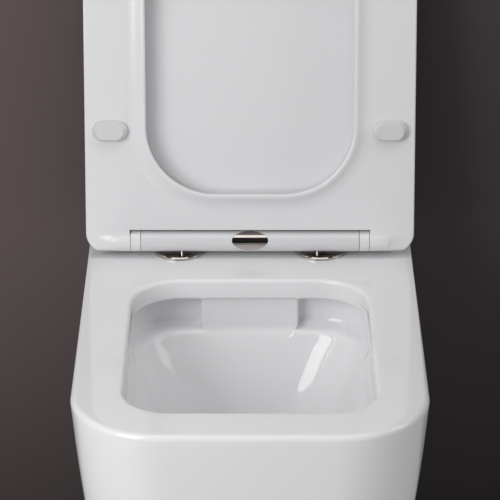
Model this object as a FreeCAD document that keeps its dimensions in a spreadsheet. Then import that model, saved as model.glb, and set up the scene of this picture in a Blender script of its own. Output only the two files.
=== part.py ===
"""Wall hung toilet: a rimless pan with its seat, lid, quick release hinge and concealed wall fixings.

Frame, in millimetres: +Z up, the wall is the plane Y = 0, the pan reaches out along -Y, and the origin
lies midway between the two wall bolts. The seat and the lid stand open, leaning back towards the wall.
"""

import FreeCAD
import Part
import Sketcher
import math
import os
import re

from FreeCAD import Placement, Rotation, Vector

# Driving dimensions. Levels are heights over the wall bolts, depths are below the rim.
SIZES = {
    # overall form of the pan
    "rim_level": 80.0,
    "pan_length": 530.0,
    "pan_height": 345.0,
    "rim_half_width": 179.5,
    "back_narrowing": 2.5,
    "front_corner": 90.0,
    "side_taper": 0.08,
    "front_taper": 0.06,
    "base_inset": 67.5,
    "base_setback": 230.0,
    "side_belly": 3.0,
    "front_belly": 4.0,
    "rim_edge_radius": 6.0,
    "base_edge_radius": 9.0,
    "mouth_edge_radius": 4.0,
    # walls of the casting
    "shell_wall": 13.0,
    "wall_trim": 5.0,
    "overcut": 1.0,
    "deck_thickness": 16.0,
    "bowl_wall": 11.0,
    # mouth of the bowl
    "rim_side": 54.0,
    "rim_front": 51.0,
    "mouth_spread": 1.5,
    "mouth_back": 180.0,
    "mouth_back_corner": 55.0,
    "mouth_front_corner": 47.0,
    "lip_depth": 23.0,
    # bowl, station by station from the lip down to the sump
    "throat_depth": 23.0,
    "lip_undercut": 1.5,
    "throat_back": 174.0,
    "throat_back_corner": 54.0,
    "throat_front_corner": 48.0,
    "ledge_depth": 66.0,
    "ledge_side": 5.5,
    "ledge_back": 178.0,
    "ledge_nose": 4.0,
    "ledge_back_corner": 56.0,
    "ledge_front_corner": 50.0,
    "slope_depth": 95.0,
    "slope_side": 19.5,
    "slope_back": 191.0,
    "slope_nose": 16.0,
    "slope_back_corner": 58.0,
    "slope_front_corner": 54.0,
    "waist_depth": 145.0,
    "waist_side": 41.5,
    "waist_back": 210.0,
    "waist_nose": 46.0,
    "waist_back_corner": 54.0,
    "waist_front_corner": 52.0,
    "trough_depth": 205.0,
    "trough_half": 61.0,
    "trough_back": 226.0,
    "trough_front": 388.0,
    "trough_back_corner": 44.0,
    "trough_front_corner": 44.0,
    "well_depth": 265.0,
    "well_half": 46.0,
    "well_back": 234.0,
    "well_front": 346.0,
    "well_back_corner": 36.0,
    "well_front_corner": 36.0,
    "sump_depth": 307.0,
    "sump_half": 36.0,
    "sump_back": 241.0,
    "sump_front": 306.0,
    "sump_back_corner": 30.0,
    "sump_front_corner": 30.0,
    # flush distributor in the back corners
    "pocket_inner": 52.5,
    "pocket_back": 158.0,
    "pocket_corner": 57.0,
    "pocket_reach": 5.0,
    "pocket_fade": 285.0,
    "pocket_height": 38.0,
    "pocket_inset": 2.0,
    "pocket_end_radius": 6.0,
    "chamber_back": 151.0,
    "chamber_wall": 8.0,
    "chamber_inset": 2.0,
    "housing_margin": 2.0,
    "housing_end": 5.0,
    "housing_corner": 12.0,
    # flush inlet
    "inlet_rise": 35.0,
    "inlet_bore": 27.5,
    "inlet_bore_length": 60.0,
    "inlet_throat": 21.0,
    "inlet_wall": 9.5,
    # waste outlet and trapway
    "outlet_drop": 100.0,
    "spigot_radius": 51.0,
    "spigot_bore": 43.0,
    "spigot_length": 52.0,
    "trap_bore": 26.0,
    "trap_wall": 10.0,
    "trap_entry_drop": 201.5,
    "trap_entry_reach": 276.0,
    "trap_bend_radius": 62.0,
    "trap_entry_run": 20.0,
    "spigot_shoulder": 20.0,
    "outlet_flare": 32.0,
    # seat post holes
    "post_setback": 103.0,
    "post_spacing": 155.0,
    "plug_gap": 0.1,
    # wall fixings
    "bolt_spacing": 180.0,
    "bolt_hole": 6.5,
    "side_hole": 11.0,
    "side_hole_setback": 40.0,
    # hinge
    "hinge_setback": 118.0,
    "hinge_height": 18.3,
    "opening_angle": 100.0,
    "bar_radius": 11.6,
    "bar_bore": 9.2,
    "bar_half_length": 118.8,
    "bar_end_chamfer": 0.4,
    "bar_partition": 52.0,
    "partition_thickness": 3.0,
    "partition_hole": 5.2,
    "joint_gap": 0.5,
    "ear_width": 10.5,
    "knuckle_length": 18.0,
    "knuckle_nose": 11.5,
    "knuckle_nose_radius": 15.0,
    "shaft_radius": 4.0,
    "shaft_running_gap": 0.05,
    "shaft_flat": 3.2,
    "shaft_reach": 14.0,
    "damper_length": 30.0,
    "damper_gap": 0.05,
    "damper_socket": 12.0,
    "key_gap": 0.03,
    # quick release
    "button_half_length": 19.75,
    "button_half_height": 10.25,
    "button_gap": 0.2,
    "button_tilt": 25.0,
    "button_rim": 4.3,
    "button_channel": 5.5,
    "button_channel_top": 7.8,
    "wedge_half_tip": 2.0,
    "wedge_tip_drop": 4.5,
    "wedge_rise": 10.0,
    "wedge_thickness": 8.0,
    "wedge_root": 0.4,
    "ramp_gap": 0.4,
    "slider_width": 7.0,
    "slider_thickness": 4.0,
    "slider_start": 3.5,
    "slider_collar": 28.0,
    "collar_radius": 7.8,
    "collar_width": 3.0,
    "slider_plate_reach": 10.0,
    "slider_plate_width": 12.0,
    "release_travel": 3.0,
    "release_gap": 0.5,
    "spring_radius": 6.6,
    "spring_wire": 1.0,
    "spring_turns": 5.0,
    # posts
    "pin_spacing": 148.0,
    "pin_neck": 2.4,
    "pin_head": 4.0,
    "pin_groove": 2.3,
    "groove_gap": 0.3,
    "pin_head_drop": 8.5,
    "pin_head_rise": 7.0,
    "pin_foot": 5.0,
    "pin_foot_thickness": 1.0,
    "pin_fit_gap": 0.05,
    "pin_hole_gap": 0.6,
    "plate_radius": 28.5,
    "plate_thickness": 3.0,
    "plate_chamfer": 0.9,
    "gasket_inset": 1.0,
    "gasket_thickness": 0.5,
    "post_bolt_radius": 3.0,
    "post_bolt_head": 5.7,
    "bolt_fit_gap": 0.2,
    "bolt_sink": 0.1,
    "bolt_socket": 2.0,
    "post_bolt_length": 46.0,
    "plug_radius": 7.4,
    "plug_length": 30.0,
    "plug_nut_length": 9.0,
    "plug_nut_gap": 0.4,
    "plug_nut_taper": 1.0,
    # seat
    "seat_inset": 1.0,
    "seat_narrowing": 0.5,
    "seat_overhang": 1.0,
    "seat_thickness": 17.0,
    "seat_underside": 9.0,
    "seat_back_corner": 22.0,
    "seat_front_corner": 92.0,
    "seat_edge_radius": 5.0,
    "lower_edge_radius": 2.0,
    "rounding_share": 0.9,
    "ring_side": 63.5,
    "seat_opening_back": 52.0,
    "ring_front": 66.0,
    "opening_back_corner": 78.0,
    "opening_front_corner": 74.0,
    "notch_side_gap": 1.2,
    "notch_gap": 2.8,
    "bead_width": 14.0,
    "bead_height": 2.4,
    # lid
    "lid_gap": 1.5,
    "lid_thickness": 14.5,
    "lid_edge_radius": 7.0,
    "lid_border": 26.0,
    "lid_dish": 3.2,
    "lid_groove_gap": 0.6,
    # bumpers
    "bumper_side": 27.5,
    "bumper_back": 125.0,
    "bumper_nose": 91.0,
    "bumper_front_side": 35.5,
    "bumper_length": 39.0,
    "bumper_width": 23.0,
    "bumper_top_length": 29.0,
    "bumper_top_width": 17.0,
    "bumper_gap": 0.3,
    "bumper_edge": 2.0,
    "bumper_shoulder": 0.55,
    "lid_bumper_side": 15.0,
    "lid_bumper_back": 110.0,
    "lid_bumper_front_side": 31.0,
    "lid_bumper_nose": 39.0,
    "lid_bumper_radius": 6.0,
    "lid_bumper_height": 1.2,
    # wall brackets
    "bracket_thickness": 5.0,
    "bracket_half_height": 28.0,
    "bracket_inner": 66.0,
    "bracket_outer": 132.0,
    "bracket_reach": 62.0,
    "rib_sink": 1.0,
    "bracket_boss": 9.0,
    "bracket_boss_length": 10.0,
    "washer_radius": 12.0,
    "washer_thickness": 2.5,
    "nut_across_flats": 18.0,
    "nut_thickness": 10.0,
    "nut_bore": 6.1,
    "side_screw_radius": 4.0,
    "side_screw_head": 6.5,
    "side_screw_head_length": 5.0,
    "side_fit_gap": 0.2,
    "bush_overhang": 1.0,
    "bush_sink": 3.0,
    "head_sink": 1.0,
    "cap_radius": 13.5,
    "cap_thickness": 2.2,
    "cap_standoff": 0.3,
}

# Sizes that follow from others, so that the pieces stay seated on each other.
DERIVED = {
    "base_half_width": "rim_half_width - base_inset",
    "base_reach": "pan_length - base_setback",
    "mouth_half": "rim_half_width - rim_side",
    "mouth_front": "pan_length - rim_front",
    "throat_half": "mouth_half + lip_undercut",
    "throat_front": "mouth_front + lip_undercut",
    "ledge_half": "mouth_half - ledge_side",
    "ledge_front": "mouth_front - ledge_nose",
    "slope_half": "mouth_half - slope_side",
    "slope_front": "mouth_front - slope_nose",
    "waist_half": "mouth_half - waist_side",
    "waist_front": "mouth_front - waist_nose",
    "pocket_corner_start": "throat_half + pocket_reach - pocket_corner",
    "post_hole": "plug_radius + plug_gap",
    "pin_hole": "pin_head + pin_hole_gap",
    "gasket_radius": "plate_radius - gasket_inset",
    "slider_plate_start": "pin_spacing / 2 - slider_plate_reach",
    "slider_plate_end": "pin_spacing / 2 + slider_plate_reach",
    "seat_half_width": "rim_half_width - seat_inset",
    "seat_reach": "pan_length - hinge_setback + seat_overhang",
    "seat_opening_half": "seat_half_width - ring_side",
    "seat_opening_front": "seat_reach - ring_front",
    "seat_tail": "bar_radius",
    "notch_half": "bar_half_length + joint_gap + ear_width + notch_side_gap",
    "notch_reach": "bar_radius + notch_gap",
    "lid_groove": "bar_radius + lid_groove_gap",
    "bumper_height": "hinge_height - seat_underside - bumper_gap",
    "bumper_half_spacing": "seat_half_width - bumper_side",
    "bumper_front_half_spacing": "seat_half_width - bumper_front_side",
    "bumper_front": "seat_reach - bumper_nose",
    "lid_bumper_back_half": "seat_half_width - lid_bumper_side",
    "lid_bumper_front_half": "seat_half_width - lid_bumper_front_side",
    "lid_bumper_front": "seat_reach - lid_bumper_nose",
}

BOWL_STATIONS = ("throat", "ledge", "slope", "waist", "trough", "well", "sump")
SHELL_STATIONS = (0.0, 0.06, 0.14, 0.24, 0.36, 0.48, 0.6, 0.7, 0.79, 0.87, 0.94, 1.0)
SIDES = {"left": -1, "right": 1}

doc = FreeCAD.newDocument("wall_hung_toilet")
sheet = doc.addObject("Spreadsheet::Sheet", "sizes")
for row, (name, size) in enumerate(SIZES.items(), start=1):
    sheet.set(f"A{row}", name)
    sheet.set(f"B{row}", str(size))
    sheet.setAlias(f"B{row}", name)
doc.recompute()

parts = []


def bound(text):
    """Expression text with derived sizes written out and every size name pointed at the sheet."""
    def written(match):
        word = match.group()
        if word in DERIVED:
            return f"({bound(DERIVED[word])})"
        return ("sizes." if word in SIZES else "") + word

    return re.sub(r"[a-z][a-z_0-9]*", written, text)


def value(text):
    """Number that an expression on the sizes stands for."""
    return float(sheet.evalExpression(bound(text)))


def bind(owner, path, text):
    """Tie a property to an expression on the sizes."""
    owner.setExpression(path, bound(text))


def part(label, kind="PartDesign::Body"):
    """A new sub-part, which becomes a node under its label."""
    made = doc.addObject(kind, label)
    made.Label = label
    parts.append(made)
    return made


def place(owner, x="0", y="0", z="0"):
    """Put a sub-part's own origin at a point of the frame."""
    for axis, text in zip("xyz", (x, y, z)):
        bind(owner, f".Placement.Base.{axis}", text)


def at_hinge(owner, raised=False):
    """Put a sub-part on the hinge axis, turned open where it swings with the seat."""
    if raised:
        owner.Placement = Placement(Vector(), Rotation(Vector(-1, 0, 0), 90))
        bind(owner, ".Placement.Rotation.Angle", "opening_angle")
    place(owner, y="-hinge_setback", z="rim_level + hinge_height")


def sketch(body, role, offset="0", name="Sketch"):
    """An empty sketch on one of the body's own origin planes, moved along the plane's normal."""
    made = body.newObject("Sketcher::SketchObject", name)
    plane = next(item for item in body.Origin.OriginFeatures if item.Role == role)
    made.AttachmentSupport = [(plane, "")]
    made.MapMode = "FlatFace"
    bind(made, ".AttachmentOffset.Base.z", offset)
    return made


def pin_point(drawn, geometry, position, x, y):
    """Fix one point of a sketch at a place given by two expressions."""
    for kind, axis, text in (("DistanceX", -2, x), ("DistanceY", -1, y)):
        if text == "0":
            drawn.addConstraint(Sketcher.Constraint("PointOnObject", geometry, position, axis))
            continue
        index = drawn.addConstraint(Sketcher.Constraint(kind, -1, 1, geometry, position, value(text)))
        bind(drawn, f"Constraints[{index}]", text)


def circle(drawn, x, y, radius):
    """A circle in a sketch."""
    index = drawn.addGeometry(Part.Circle(Vector(value(x), value(y), 0), Vector(0, 0, 1), value(radius)))
    pin_point(drawn, index, 3, x, y)
    size = drawn.addConstraint(Sketcher.Constraint("Radius", index, value(radius)))
    bind(drawn, f"Constraints[{size}]", radius)


def arc_between(start, end, radius, left):
    """Arc of under a half turn from start to end, and which of its ends is the start."""
    chord = end - start
    middle = (start + end) * 0.5
    aside = Vector(-chord.y, chord.x, 0).normalize()
    rise = math.sqrt(max(radius ** 2 - (chord.Length / 2) ** 2, 0.0))
    centre = middle + aside * (rise if left else -rise)
    first, last = (start, end) if left else (end, start)
    angles = [math.atan2(point.y - centre.y, point.x - centre.x) for point in (first, last)]
    if angles[1] < angles[0]:
        angles[1] += 2 * math.pi
    return Part.ArcOfCircle(Part.Circle(centre, Vector(0, 0, 1), radius), *angles)


def outline(drawn, corners):
    """Closed outline. A corner is (x, y) at a side's end, or (x, y, radius, turn) at an arc's end."""
    points = [Vector(value(corner[0]), value(corner[1]), 0) for corner in corners]
    ends = []
    for number, corner in enumerate(corners):
        start, end = points[number - 1], points[number]
        if len(corner) == 2:
            index = drawn.addGeometry(Part.LineSegment(start, end))
            ends.append((index, 1, 2))
            continue
        left = corner[3] == "left"
        index = drawn.addGeometry(arc_between(start, end, value(corner[2]), left))
        ends.append((index, 1, 2) if left else (index, 2, 1))
        size = drawn.addConstraint(Sketcher.Constraint("Radius", index, value(corner[2])))
        bind(drawn, f"Constraints[{size}]", corner[2])
    for number, (index, start, end) in enumerate(ends):
        before = ends[number - 1]
        drawn.addConstraint(Sketcher.Constraint("Coincident", before[0], before[2], index, start))
        pin_point(drawn, index, end, corners[number][0], corners[number][1])


def rounded(drawn, half_back, half_front, back, front, back_corner, front_corner):
    """Plan outline, alike on both sides, given by how far its back and front lie along -Y."""
    outline(drawn, [
        (half_back, f"-({back}) - ({back_corner})"),
        (f"{half_back} - ({back_corner})", f"-({back})", back_corner, "left"),
        (f"-({half_back}) + ({back_corner})", f"-({back})"),
        (f"-({half_back})", f"-({back}) - ({back_corner})", back_corner, "left"),
        (f"-({half_front})", f"-({front}) + ({front_corner})"),
        (f"-({half_front}) + ({front_corner})", f"-({front})", front_corner, "left"),
        (f"{half_front} - ({front_corner})", f"-({front})"),
        (half_front, f"-({front}) + ({front_corner})", front_corner, "left"),
    ])


def wall_side(drawn, half_back, half_front, back, front, corner):
    """Plan outline with a square back on the wall and rounded front corners."""
    outline(drawn, [
        (half_back, f"-({back})"),
        (f"-({half_back})", f"-({back})"),
        (f"-({half_front})", f"-({front}) + ({corner})"),
        (f"-({half_front}) + ({corner})", f"-({front})", corner, "left"),
        (f"{half_front} - ({corner})", f"-({front})"),
        (half_front, f"-({front}) + ({corner})", corner, "left"),
    ])


def box_outline(drawn, x0, x1, y0, y1):
    """Rectangle in a sketch."""
    outline(drawn, [(x1, y0), (x1, y1), (x0, y1), (x0, y0)])


def checked(body, feature, adds):
    """Recompute a feature and stop where it changed nothing or went the wrong way."""
    before = feature.BaseFeature.Shape.Volume if feature.BaseFeature else 0.0
    doc.recompute()
    change = feature.Shape.Volume - before
    if "Invalid" in feature.State or "Error" in feature.State or (change > 0) != adds or abs(change) < 1e-3:
        raise RuntimeError(f"{body.Label}: {feature.Label} changed the volume by {change:.3f}")
    return feature


def pad(body, drawn, length, back=False, name="Pad"):
    """Raise a sketch by a length along its normal, or against it."""
    made = body.newObject("PartDesign::Pad", name)
    made.Profile = drawn
    bind(made, "Length", length)
    made.Reversed = back
    return checked(body, made, True)


def pocket(body, drawn, length, forward=False, both=False, name="Pocket"):
    """Cut a sketch into the solid against its normal, or along it, or half each way."""
    made = body.newObject("PartDesign::Pocket", name)
    made.Profile = drawn
    bind(made, "Length", length)
    made.Reversed = forward
    made.Midplane = both
    return checked(body, made, False)


def turned(body, drawn, axis, cut=False, name="Revolution"):
    """Turn a sketch once round one of its axes."""
    made = body.newObject("PartDesign::Groove" if cut else "PartDesign::Revolution", name)
    made.Profile = drawn
    made.ReferenceAxis = (drawn, [axis])
    made.Angle = 360.0
    return checked(body, made, not cut)


def loft(body, sketches, cut=False, name="Loft"):
    """Smooth solid through a row of sketches."""
    made = body.newObject("PartDesign::SubtractiveLoft" if cut else "PartDesign::AdditiveLoft", name)
    made.Profile = sketches[0]
    made.Sections = sketches[1:]
    return checked(body, made, not cut)


def edges_where(feature, test):
    """Names of the edges of a feature whose every sampled point passes a test."""
    names = []
    for number, edge in enumerate(feature.Shape.Edges, start=1):
        points = [edge.valueAt(p) for p in (edge.FirstParameter,
                                            (edge.FirstParameter + edge.LastParameter) / 2,
                                            edge.LastParameter)]
        if all(test(point) for point in points):
            names.append(f"Edge{number}")
    return names


def fillet(body, test, radius, chamfer=False, name="Fillet"):
    """Round or chamfer the edges of the body's tip that pass a test."""
    base = body.Tip
    names = edges_where(base, test)
    if not names:
        raise RuntimeError(f"{body.Label}: {name} found no edges")
    made = body.newObject("PartDesign::Chamfer" if chamfer else "PartDesign::Fillet", name)
    made.Base = (base, names)
    bind(made, "Size" if chamfer else "Radius", radius)
    doc.recompute()
    if "Invalid" in made.State or made.Shape.isNull():
        raise RuntimeError(f"{body.Label}: {name} failed, {made.State}")
    return made


def group(label, pieces):
    """One node that holds several alike solids."""
    made = part(label, "Part::Compound")
    made.Links = pieces
    return made


def loose(label):
    """A body that is exported only inside a group."""
    return doc.addObject("PartDesign::Body", label)


def near(number, target, slack=0.05):
    """Whether two lengths agree."""
    return abs(number - target) < slack


# ---------------------------------------------------------------- pan

def form_half(depth):
    """Half width of the pan's outer form at a depth below the rim."""
    spread = "(rim_half_width - side_taper * pan_height - base_half_width)"
    return f"rim_half_width - side_taper * ({depth}) - {spread} * (({depth}) / pan_height) ^ side_belly"


def form_reach(depth):
    """How far the pan's outer form reaches out from the wall at a depth below the rim."""
    spread = "(pan_length - front_taper * pan_height - base_reach)"
    return f"pan_length - front_taper * ({depth}) - {spread} * (({depth}) / pan_height) ^ front_belly"


def pan_form(body, role_name, top, bottom, wall, past_wall, cut):
    """Loft of the pan's form between two depths, drawn in by a wall."""
    drawings = []
    for share in SHELL_STATIONS:
        depth = f"({top}) + (({bottom}) - ({top})) * {share}"
        law_depth = f"({depth} + ({wall}) * {share})"
        drawn = sketch(body, "XY_Plane", f"rim_level - ({depth})", role_name)
        half = f"{form_half(law_depth)} - ({wall})"
        wall_side(drawn, f"{half} - back_narrowing", half, f"-({past_wall})",
                  f"{form_reach(law_depth)} - ({wall})", f"front_corner - ({wall})")
        drawings.append(drawn)
    return loft(body, drawings, cut, role_name)


def bowl_form(body, role_name, wall, cut):
    """Loft of the bowl from its lip to the sump, swollen by a wall."""
    drawings = []
    for number, station in enumerate(BOWL_STATIONS):
        sink = f"({wall}) * {number / (len(BOWL_STATIONS) - 1):.4f}"
        drawn = sketch(body, "XY_Plane", f"rim_level - {station}_depth - {sink}", role_name)
        half = f"{station}_half + ({wall})"
        rounded(drawn, half, half, f"{station}_back - ({wall})", f"{station}_front + ({wall})",
                f"{station}_back_corner + ({wall})", f"{station}_front_corner + ({wall})")
        drawings.append(drawn)
    return loft(body, drawings, cut, role_name)


def trapway(body, radius, cut):
    """Bent water way from the sump up over the weir and back to the waste outlet."""
    name = "TrapwayBore" if cut else "TrapwayTube"
    path = body.newObject("Sketcher::SketchObject", name + "Path")
    plane = next(item for item in body.Origin.OriginFeatures if item.Role == "YZ_Plane")
    path.AttachmentSupport = [(plane, "")]
    path.MapMode = "FlatFace"
    entry = Vector(-value("trap_entry_reach"), -value("trap_entry_drop"), 0)
    bend = value("trap_bend_radius")
    rise = -value("outlet_drop") - entry.y
    # two equal and opposite bends climb from the level of the sump to the level of the outlet
    turn = math.acos(1 - rise / (2 * bend))
    first = Vector(entry.x + value("trap_entry_run"), entry.y, 0)
    middle = first + Vector(bend * math.sin(turn), rise / 2, 0)
    last = first + Vector(2 * bend * math.sin(turn), rise, 0)
    end = Vector(0, last.y, 0)
    lower = Part.Circle(first + Vector(0, bend, 0), Vector(0, 0, 1), bend)
    upper = Part.Circle(last - Vector(0, bend, 0), Vector(0, 0, 1), bend)
    path.addGeometry(Part.LineSegment(entry, first))
    path.addGeometry(Part.ArcOfCircle(lower, -math.pi / 2, -math.pi / 2 + turn))
    path.addGeometry(Part.ArcOfCircle(upper, math.pi / 2, math.pi / 2 + turn))
    path.addGeometry(Part.LineSegment(last, end))
    path.addConstraint(Sketcher.Constraint("Horizontal", 0))
    path.addConstraint(Sketcher.Constraint("Horizontal", 3))
    path.addConstraint(Sketcher.Constraint("Tangent", 0, 2, 1, 1))
    path.addConstraint(Sketcher.Constraint("Tangent", 1, 2, 2, 2))
    path.addConstraint(Sketcher.Constraint("Tangent", 2, 1, 3, 1))
    path.addConstraint(Sketcher.Constraint("Equal", 1, 2))
    pin_point(path, 0, 1, "-trap_entry_reach", "-trap_entry_drop")
    pin_point(path, 3, 2, "0", "-outlet_drop")
    size = path.addConstraint(Sketcher.Constraint("Radius", 1, bend))
    bind(path, f"Constraints[{size}]", "trap_bend_radius")
    run = path.addConstraint(Sketcher.Constraint("DistanceX", 0, 1, 0, 2, value("trap_entry_run")))
    bind(path, f"Constraints[{run}]", "trap_entry_run")
    section = sketch(body, "XZ_Plane", "trap_entry_reach", name + "Section")
    circle(section, "0", "-trap_entry_drop", radius)
    made = body.newObject("PartDesign::SubtractivePipe" if cut else "PartDesign::AdditivePipe", name)
    made.Profile = section
    made.Spine = path
    return checked(body, made, not cut)


def make_pan():
    """Outer casting: skirt and deck, open towards the wall, with the mouth and the holes of its fittings."""
    body = part("pan")
    pan_form(body, "OuterForm", "0", "pan_height", "0", "wall_trim", cut=False)
    past = sketch(body, "XZ_Plane", "0", "WallPlane")
    box_outline(past, "-pan_length", "pan_length", "-pan_length", "pan_length")
    pocket(body, past, "wall_trim + overcut", name="WallPlane")
    pan_form(body, "CastingHollow", "deck_thickness", "pan_height - shell_wall", "shell_wall",
             "wall_trim", cut=True)
    mouth = sketch(body, "XY_Plane", "rim_level", "Mouth")
    mouth_outline(mouth)
    pocket(body, mouth, "deck_thickness + overcut", name="Mouth")
    seat = sketch(body, "XZ_Plane", "0", "InletSeat")
    circle(seat, "0", "inlet_rise", "inlet_bore + inlet_wall")
    pocket(body, seat, "chamber_back - chamber_wall", forward=True, name="InletSeat")
    posts = sketch(body, "XY_Plane", "rim_level", "PostHoles")
    for side in SIDES.values():
        circle(posts, f"{side} * post_spacing / 2", "-post_setback", "post_hole")
    pocket(body, posts, "deck_thickness + overcut", name="PostHoles")
    flank = sketch(body, "YZ_Plane", "0", "SideHoles")
    circle(flank, "-side_hole_setback", "0", "side_hole")
    pocket(body, flank, "2 * rim_half_width", both=True, name="SideHoles")

    top = value("rim_level")
    mouth_half, mouth_back, mouth_front = value("mouth_half"), value("mouth_back"), value("mouth_front")

    def on_mouth(point):
        return (near(point.z, top) and abs(point.x) < mouth_half + 2
                and -mouth_front - 0.1 < point.y < -mouth_back + 0.1)

    def on_rim(point):
        outside = abs(point.x) > mouth_half + 20 or point.y < -mouth_front - 20
        return near(point.z, top) and outside

    base = top - value("pan_height")
    fillet(body, lambda p: near(p.z, base) and p.y < -1, "base_edge_radius", name="BaseEdge")
    fillet(body, on_mouth, "mouth_edge_radius", name="MouthEdge")
    fillet(body, on_rim, "rim_edge_radius", name="RimEdge")
    return body


def mouth_outline(drawn):
    """Rounded outline of the mouth of the bowl."""
    rounded(drawn, "mouth_half", "mouth_half + mouth_spread", "mouth_back", "mouth_front",
            "mouth_back_corner", "mouth_front_corner")


def make_bowl():
    """Inner casting under the deck: bowl wall, rim wall, flush housing with its two distributor pockets."""
    body = part("bowl")
    bowl_form(body, "BowlWall", "bowl_wall", cut=False)
    neck = sketch(body, "XY_Plane", "rim_level - throat_depth", "RimWall")
    rounded(neck, "throat_half + bowl_wall", "throat_half + bowl_wall", "throat_back - bowl_wall",
            "throat_front + bowl_wall", "throat_back_corner + bowl_wall", "throat_front_corner + bowl_wall")
    pad(body, neck, "throat_depth - deck_thickness", name="RimWall")
    housing_floor = "rim_level - lip_depth - pocket_height - chamber_wall"
    housing = sketch(body, "XY_Plane", housing_floor, "FlushHousing")
    rounded(housing, "throat_half + bowl_wall + housing_margin",
            "throat_half + bowl_wall + housing_margin", "chamber_back - chamber_wall",
            "pocket_fade + housing_end", "pocket_corner + housing_corner", "housing_corner")
    pad(body, housing, "pocket_height + lip_depth + chamber_wall - deck_thickness", name="FlushHousing")

    mouth = sketch(body, "XY_Plane", "rim_level - deck_thickness", "Mouth")
    mouth_outline(mouth)
    pocket(body, mouth, "throat_depth - deck_thickness", name="Mouth")
    bowl_form(body, "BowlHollow", "0", cut=True)
    pockets = sketch(body, "XY_Plane", "rim_level - lip_depth", "Distributor")
    for side, turn in (("", "left"), ("-", "right")):
        outline(pockets, [
            (f"{side}pocket_inner", "-pocket_fade"),
            (f"{side}(mouth_half - pocket_inset)", "-pocket_fade"),
            (f"{side}(pocket_corner_start + pocket_corner)", "-pocket_back - pocket_corner"),
            (f"{side}pocket_corner_start", "-pocket_back", "pocket_corner", turn),
            (f"{side}pocket_inner", "-pocket_back"),
        ])
    pocket(body, pockets, "pocket_height", name="Distributor")
    roof, floor = value("rim_level - lip_depth"), value("rim_level - lip_depth - pocket_height")
    end = value("pocket_inner")

    def on_pocket_end(point):
        return near(abs(point.x), end) and (near(point.z, roof) or near(point.z, floor))

    fillet(body, on_pocket_end, "pocket_end_radius", name="PocketEnd")
    chamber = sketch(body, "XY_Plane", "rim_level - lip_depth - chamber_inset", "FlushChamber")
    box_outline(chamber, "-pocket_inner - overcut", "pocket_inner + overcut", "-throat_back + chamber_wall",
                "-chamber_back")
    pocket(body, chamber, "pocket_height - 2 * chamber_inset", name="FlushChamber")
    throat = sketch(body, "XZ_Plane", "chamber_back - chamber_wall - overcut", "InletThroat")
    circle(throat, "0", "inlet_rise", "inlet_throat")
    pocket(body, throat, "chamber_wall + 2 * overcut", forward=True, name="InletThroat")
    trapway(body, "trap_bore", cut=True)
    return body


def make_trapway():
    """Bent water way from the sump over the weir, ending in the waste spigot."""
    body = part("trapway")
    trapway(body, "trap_bore + trap_wall", cut=False)
    spigot = sketch(body, "XZ_Plane", "0", "Spigot")
    circle(spigot, "0", "-outlet_drop", "spigot_radius")
    pad(body, spigot, "spigot_length + spigot_shoulder", name="Spigot")
    flare(body, "spigot_length + spigot_shoulder", "trap_bore + trap_wall", "spigot_radius", cut=False)
    bowl_form(body, "BowlSeat", "bowl_wall", cut=True)
    trapway(body, "trap_bore", cut=True)
    outlet = sketch(body, "XZ_Plane", "0", "OutletBore")
    circle(outlet, "0", "-outlet_drop", "spigot_bore")
    pocket(body, outlet, "spigot_length", forward=True, name="OutletBore")
    flare(body, "spigot_length", "trap_bore", "spigot_bore", cut=True)
    return body


def flare(body, start, narrow, wide, cut):
    """Cone that widens the trapway to the waste outlet."""
    name = "OutletFlare" if cut else "SpigotFlare"
    drawings = []
    for setback, radius in ((f"{start} + outlet_flare", narrow), (start, wide)):
        drawn = sketch(body, "XZ_Plane", setback, name)
        circle(drawn, "0", "-outlet_drop", radius)
        drawings.append(drawn)
    return loft(body, drawings, cut, name)


def make_flush_inlet():
    """Round inlet that leads the flush pipe's water to the flush chamber."""
    body = part("flush_inlet")
    tube = sketch(body, "XZ_Plane", "0", "InletTube")
    circle(tube, "0", "inlet_rise", "inlet_bore + inlet_wall")
    pad(body, tube, "chamber_back - chamber_wall", name="InletTube")
    throat = sketch(body, "XZ_Plane", "0", "InletThroat")
    circle(throat, "0", "inlet_rise", "inlet_throat")
    pocket(body, throat, "chamber_back - chamber_wall + overcut", forward=True, name="InletThroat")
    bore = sketch(body, "XZ_Plane", "0", "InletBore")
    circle(bore, "0", "inlet_rise", "inlet_bore")
    pocket(body, bore, "inlet_bore_length", forward=True, name="InletBore")
    return body


# ---------------------------------------------------------------- hinge bar and quick release

def make_hinge_bar():
    """Hollow bar on the hinge axis, with a window for the button and holes for the post pins."""
    body = part("hinge_bar")
    at_hinge(body)
    wall = sketch(body, "XY_Plane", name="BarWall")
    inner = "bar_partition + partition_thickness"
    outline(wall, [
        ("bar_half_length", "bar_bore"),
        ("bar_half_length", "bar_radius"),
        ("-bar_half_length", "bar_radius"),
        ("-bar_half_length", "bar_bore"),
        (f"-({inner})", "bar_bore"),
        (f"-({inner})", "partition_hole"),
        ("-bar_partition", "partition_hole"),
        ("-bar_partition", "bar_bore"),
        ("bar_partition", "bar_bore"),
        ("bar_partition", "partition_hole"),
        (inner, "partition_hole"),
        (inner, "bar_bore"),
    ])
    turned(body, wall, "H_Axis", name="BarWall")
    window = sketch(body, "XZ_Plane", name="ButtonWindow")
    tilt(window)
    ellipse(window, "button_half_length", "button_half_height")
    pocket(body, window, "bar_radius + overcut", forward=True, name="ButtonWindow")
    holes = sketch(body, "XY_Plane", name="PinHoles")
    for side in SIDES.values():
        circle(holes, f"{side} * pin_spacing / 2", "0", "pin_hole")
    pocket(body, holes, "bar_radius + overcut", name="PinHoles")
    end = value("bar_half_length")
    rim = value("bar_radius")
    fillet(body, lambda p: near(abs(p.x), end) and near(math.hypot(p.y, p.z), rim), "bar_end_chamfer",
           True, "BarEnds")
    return body


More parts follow.
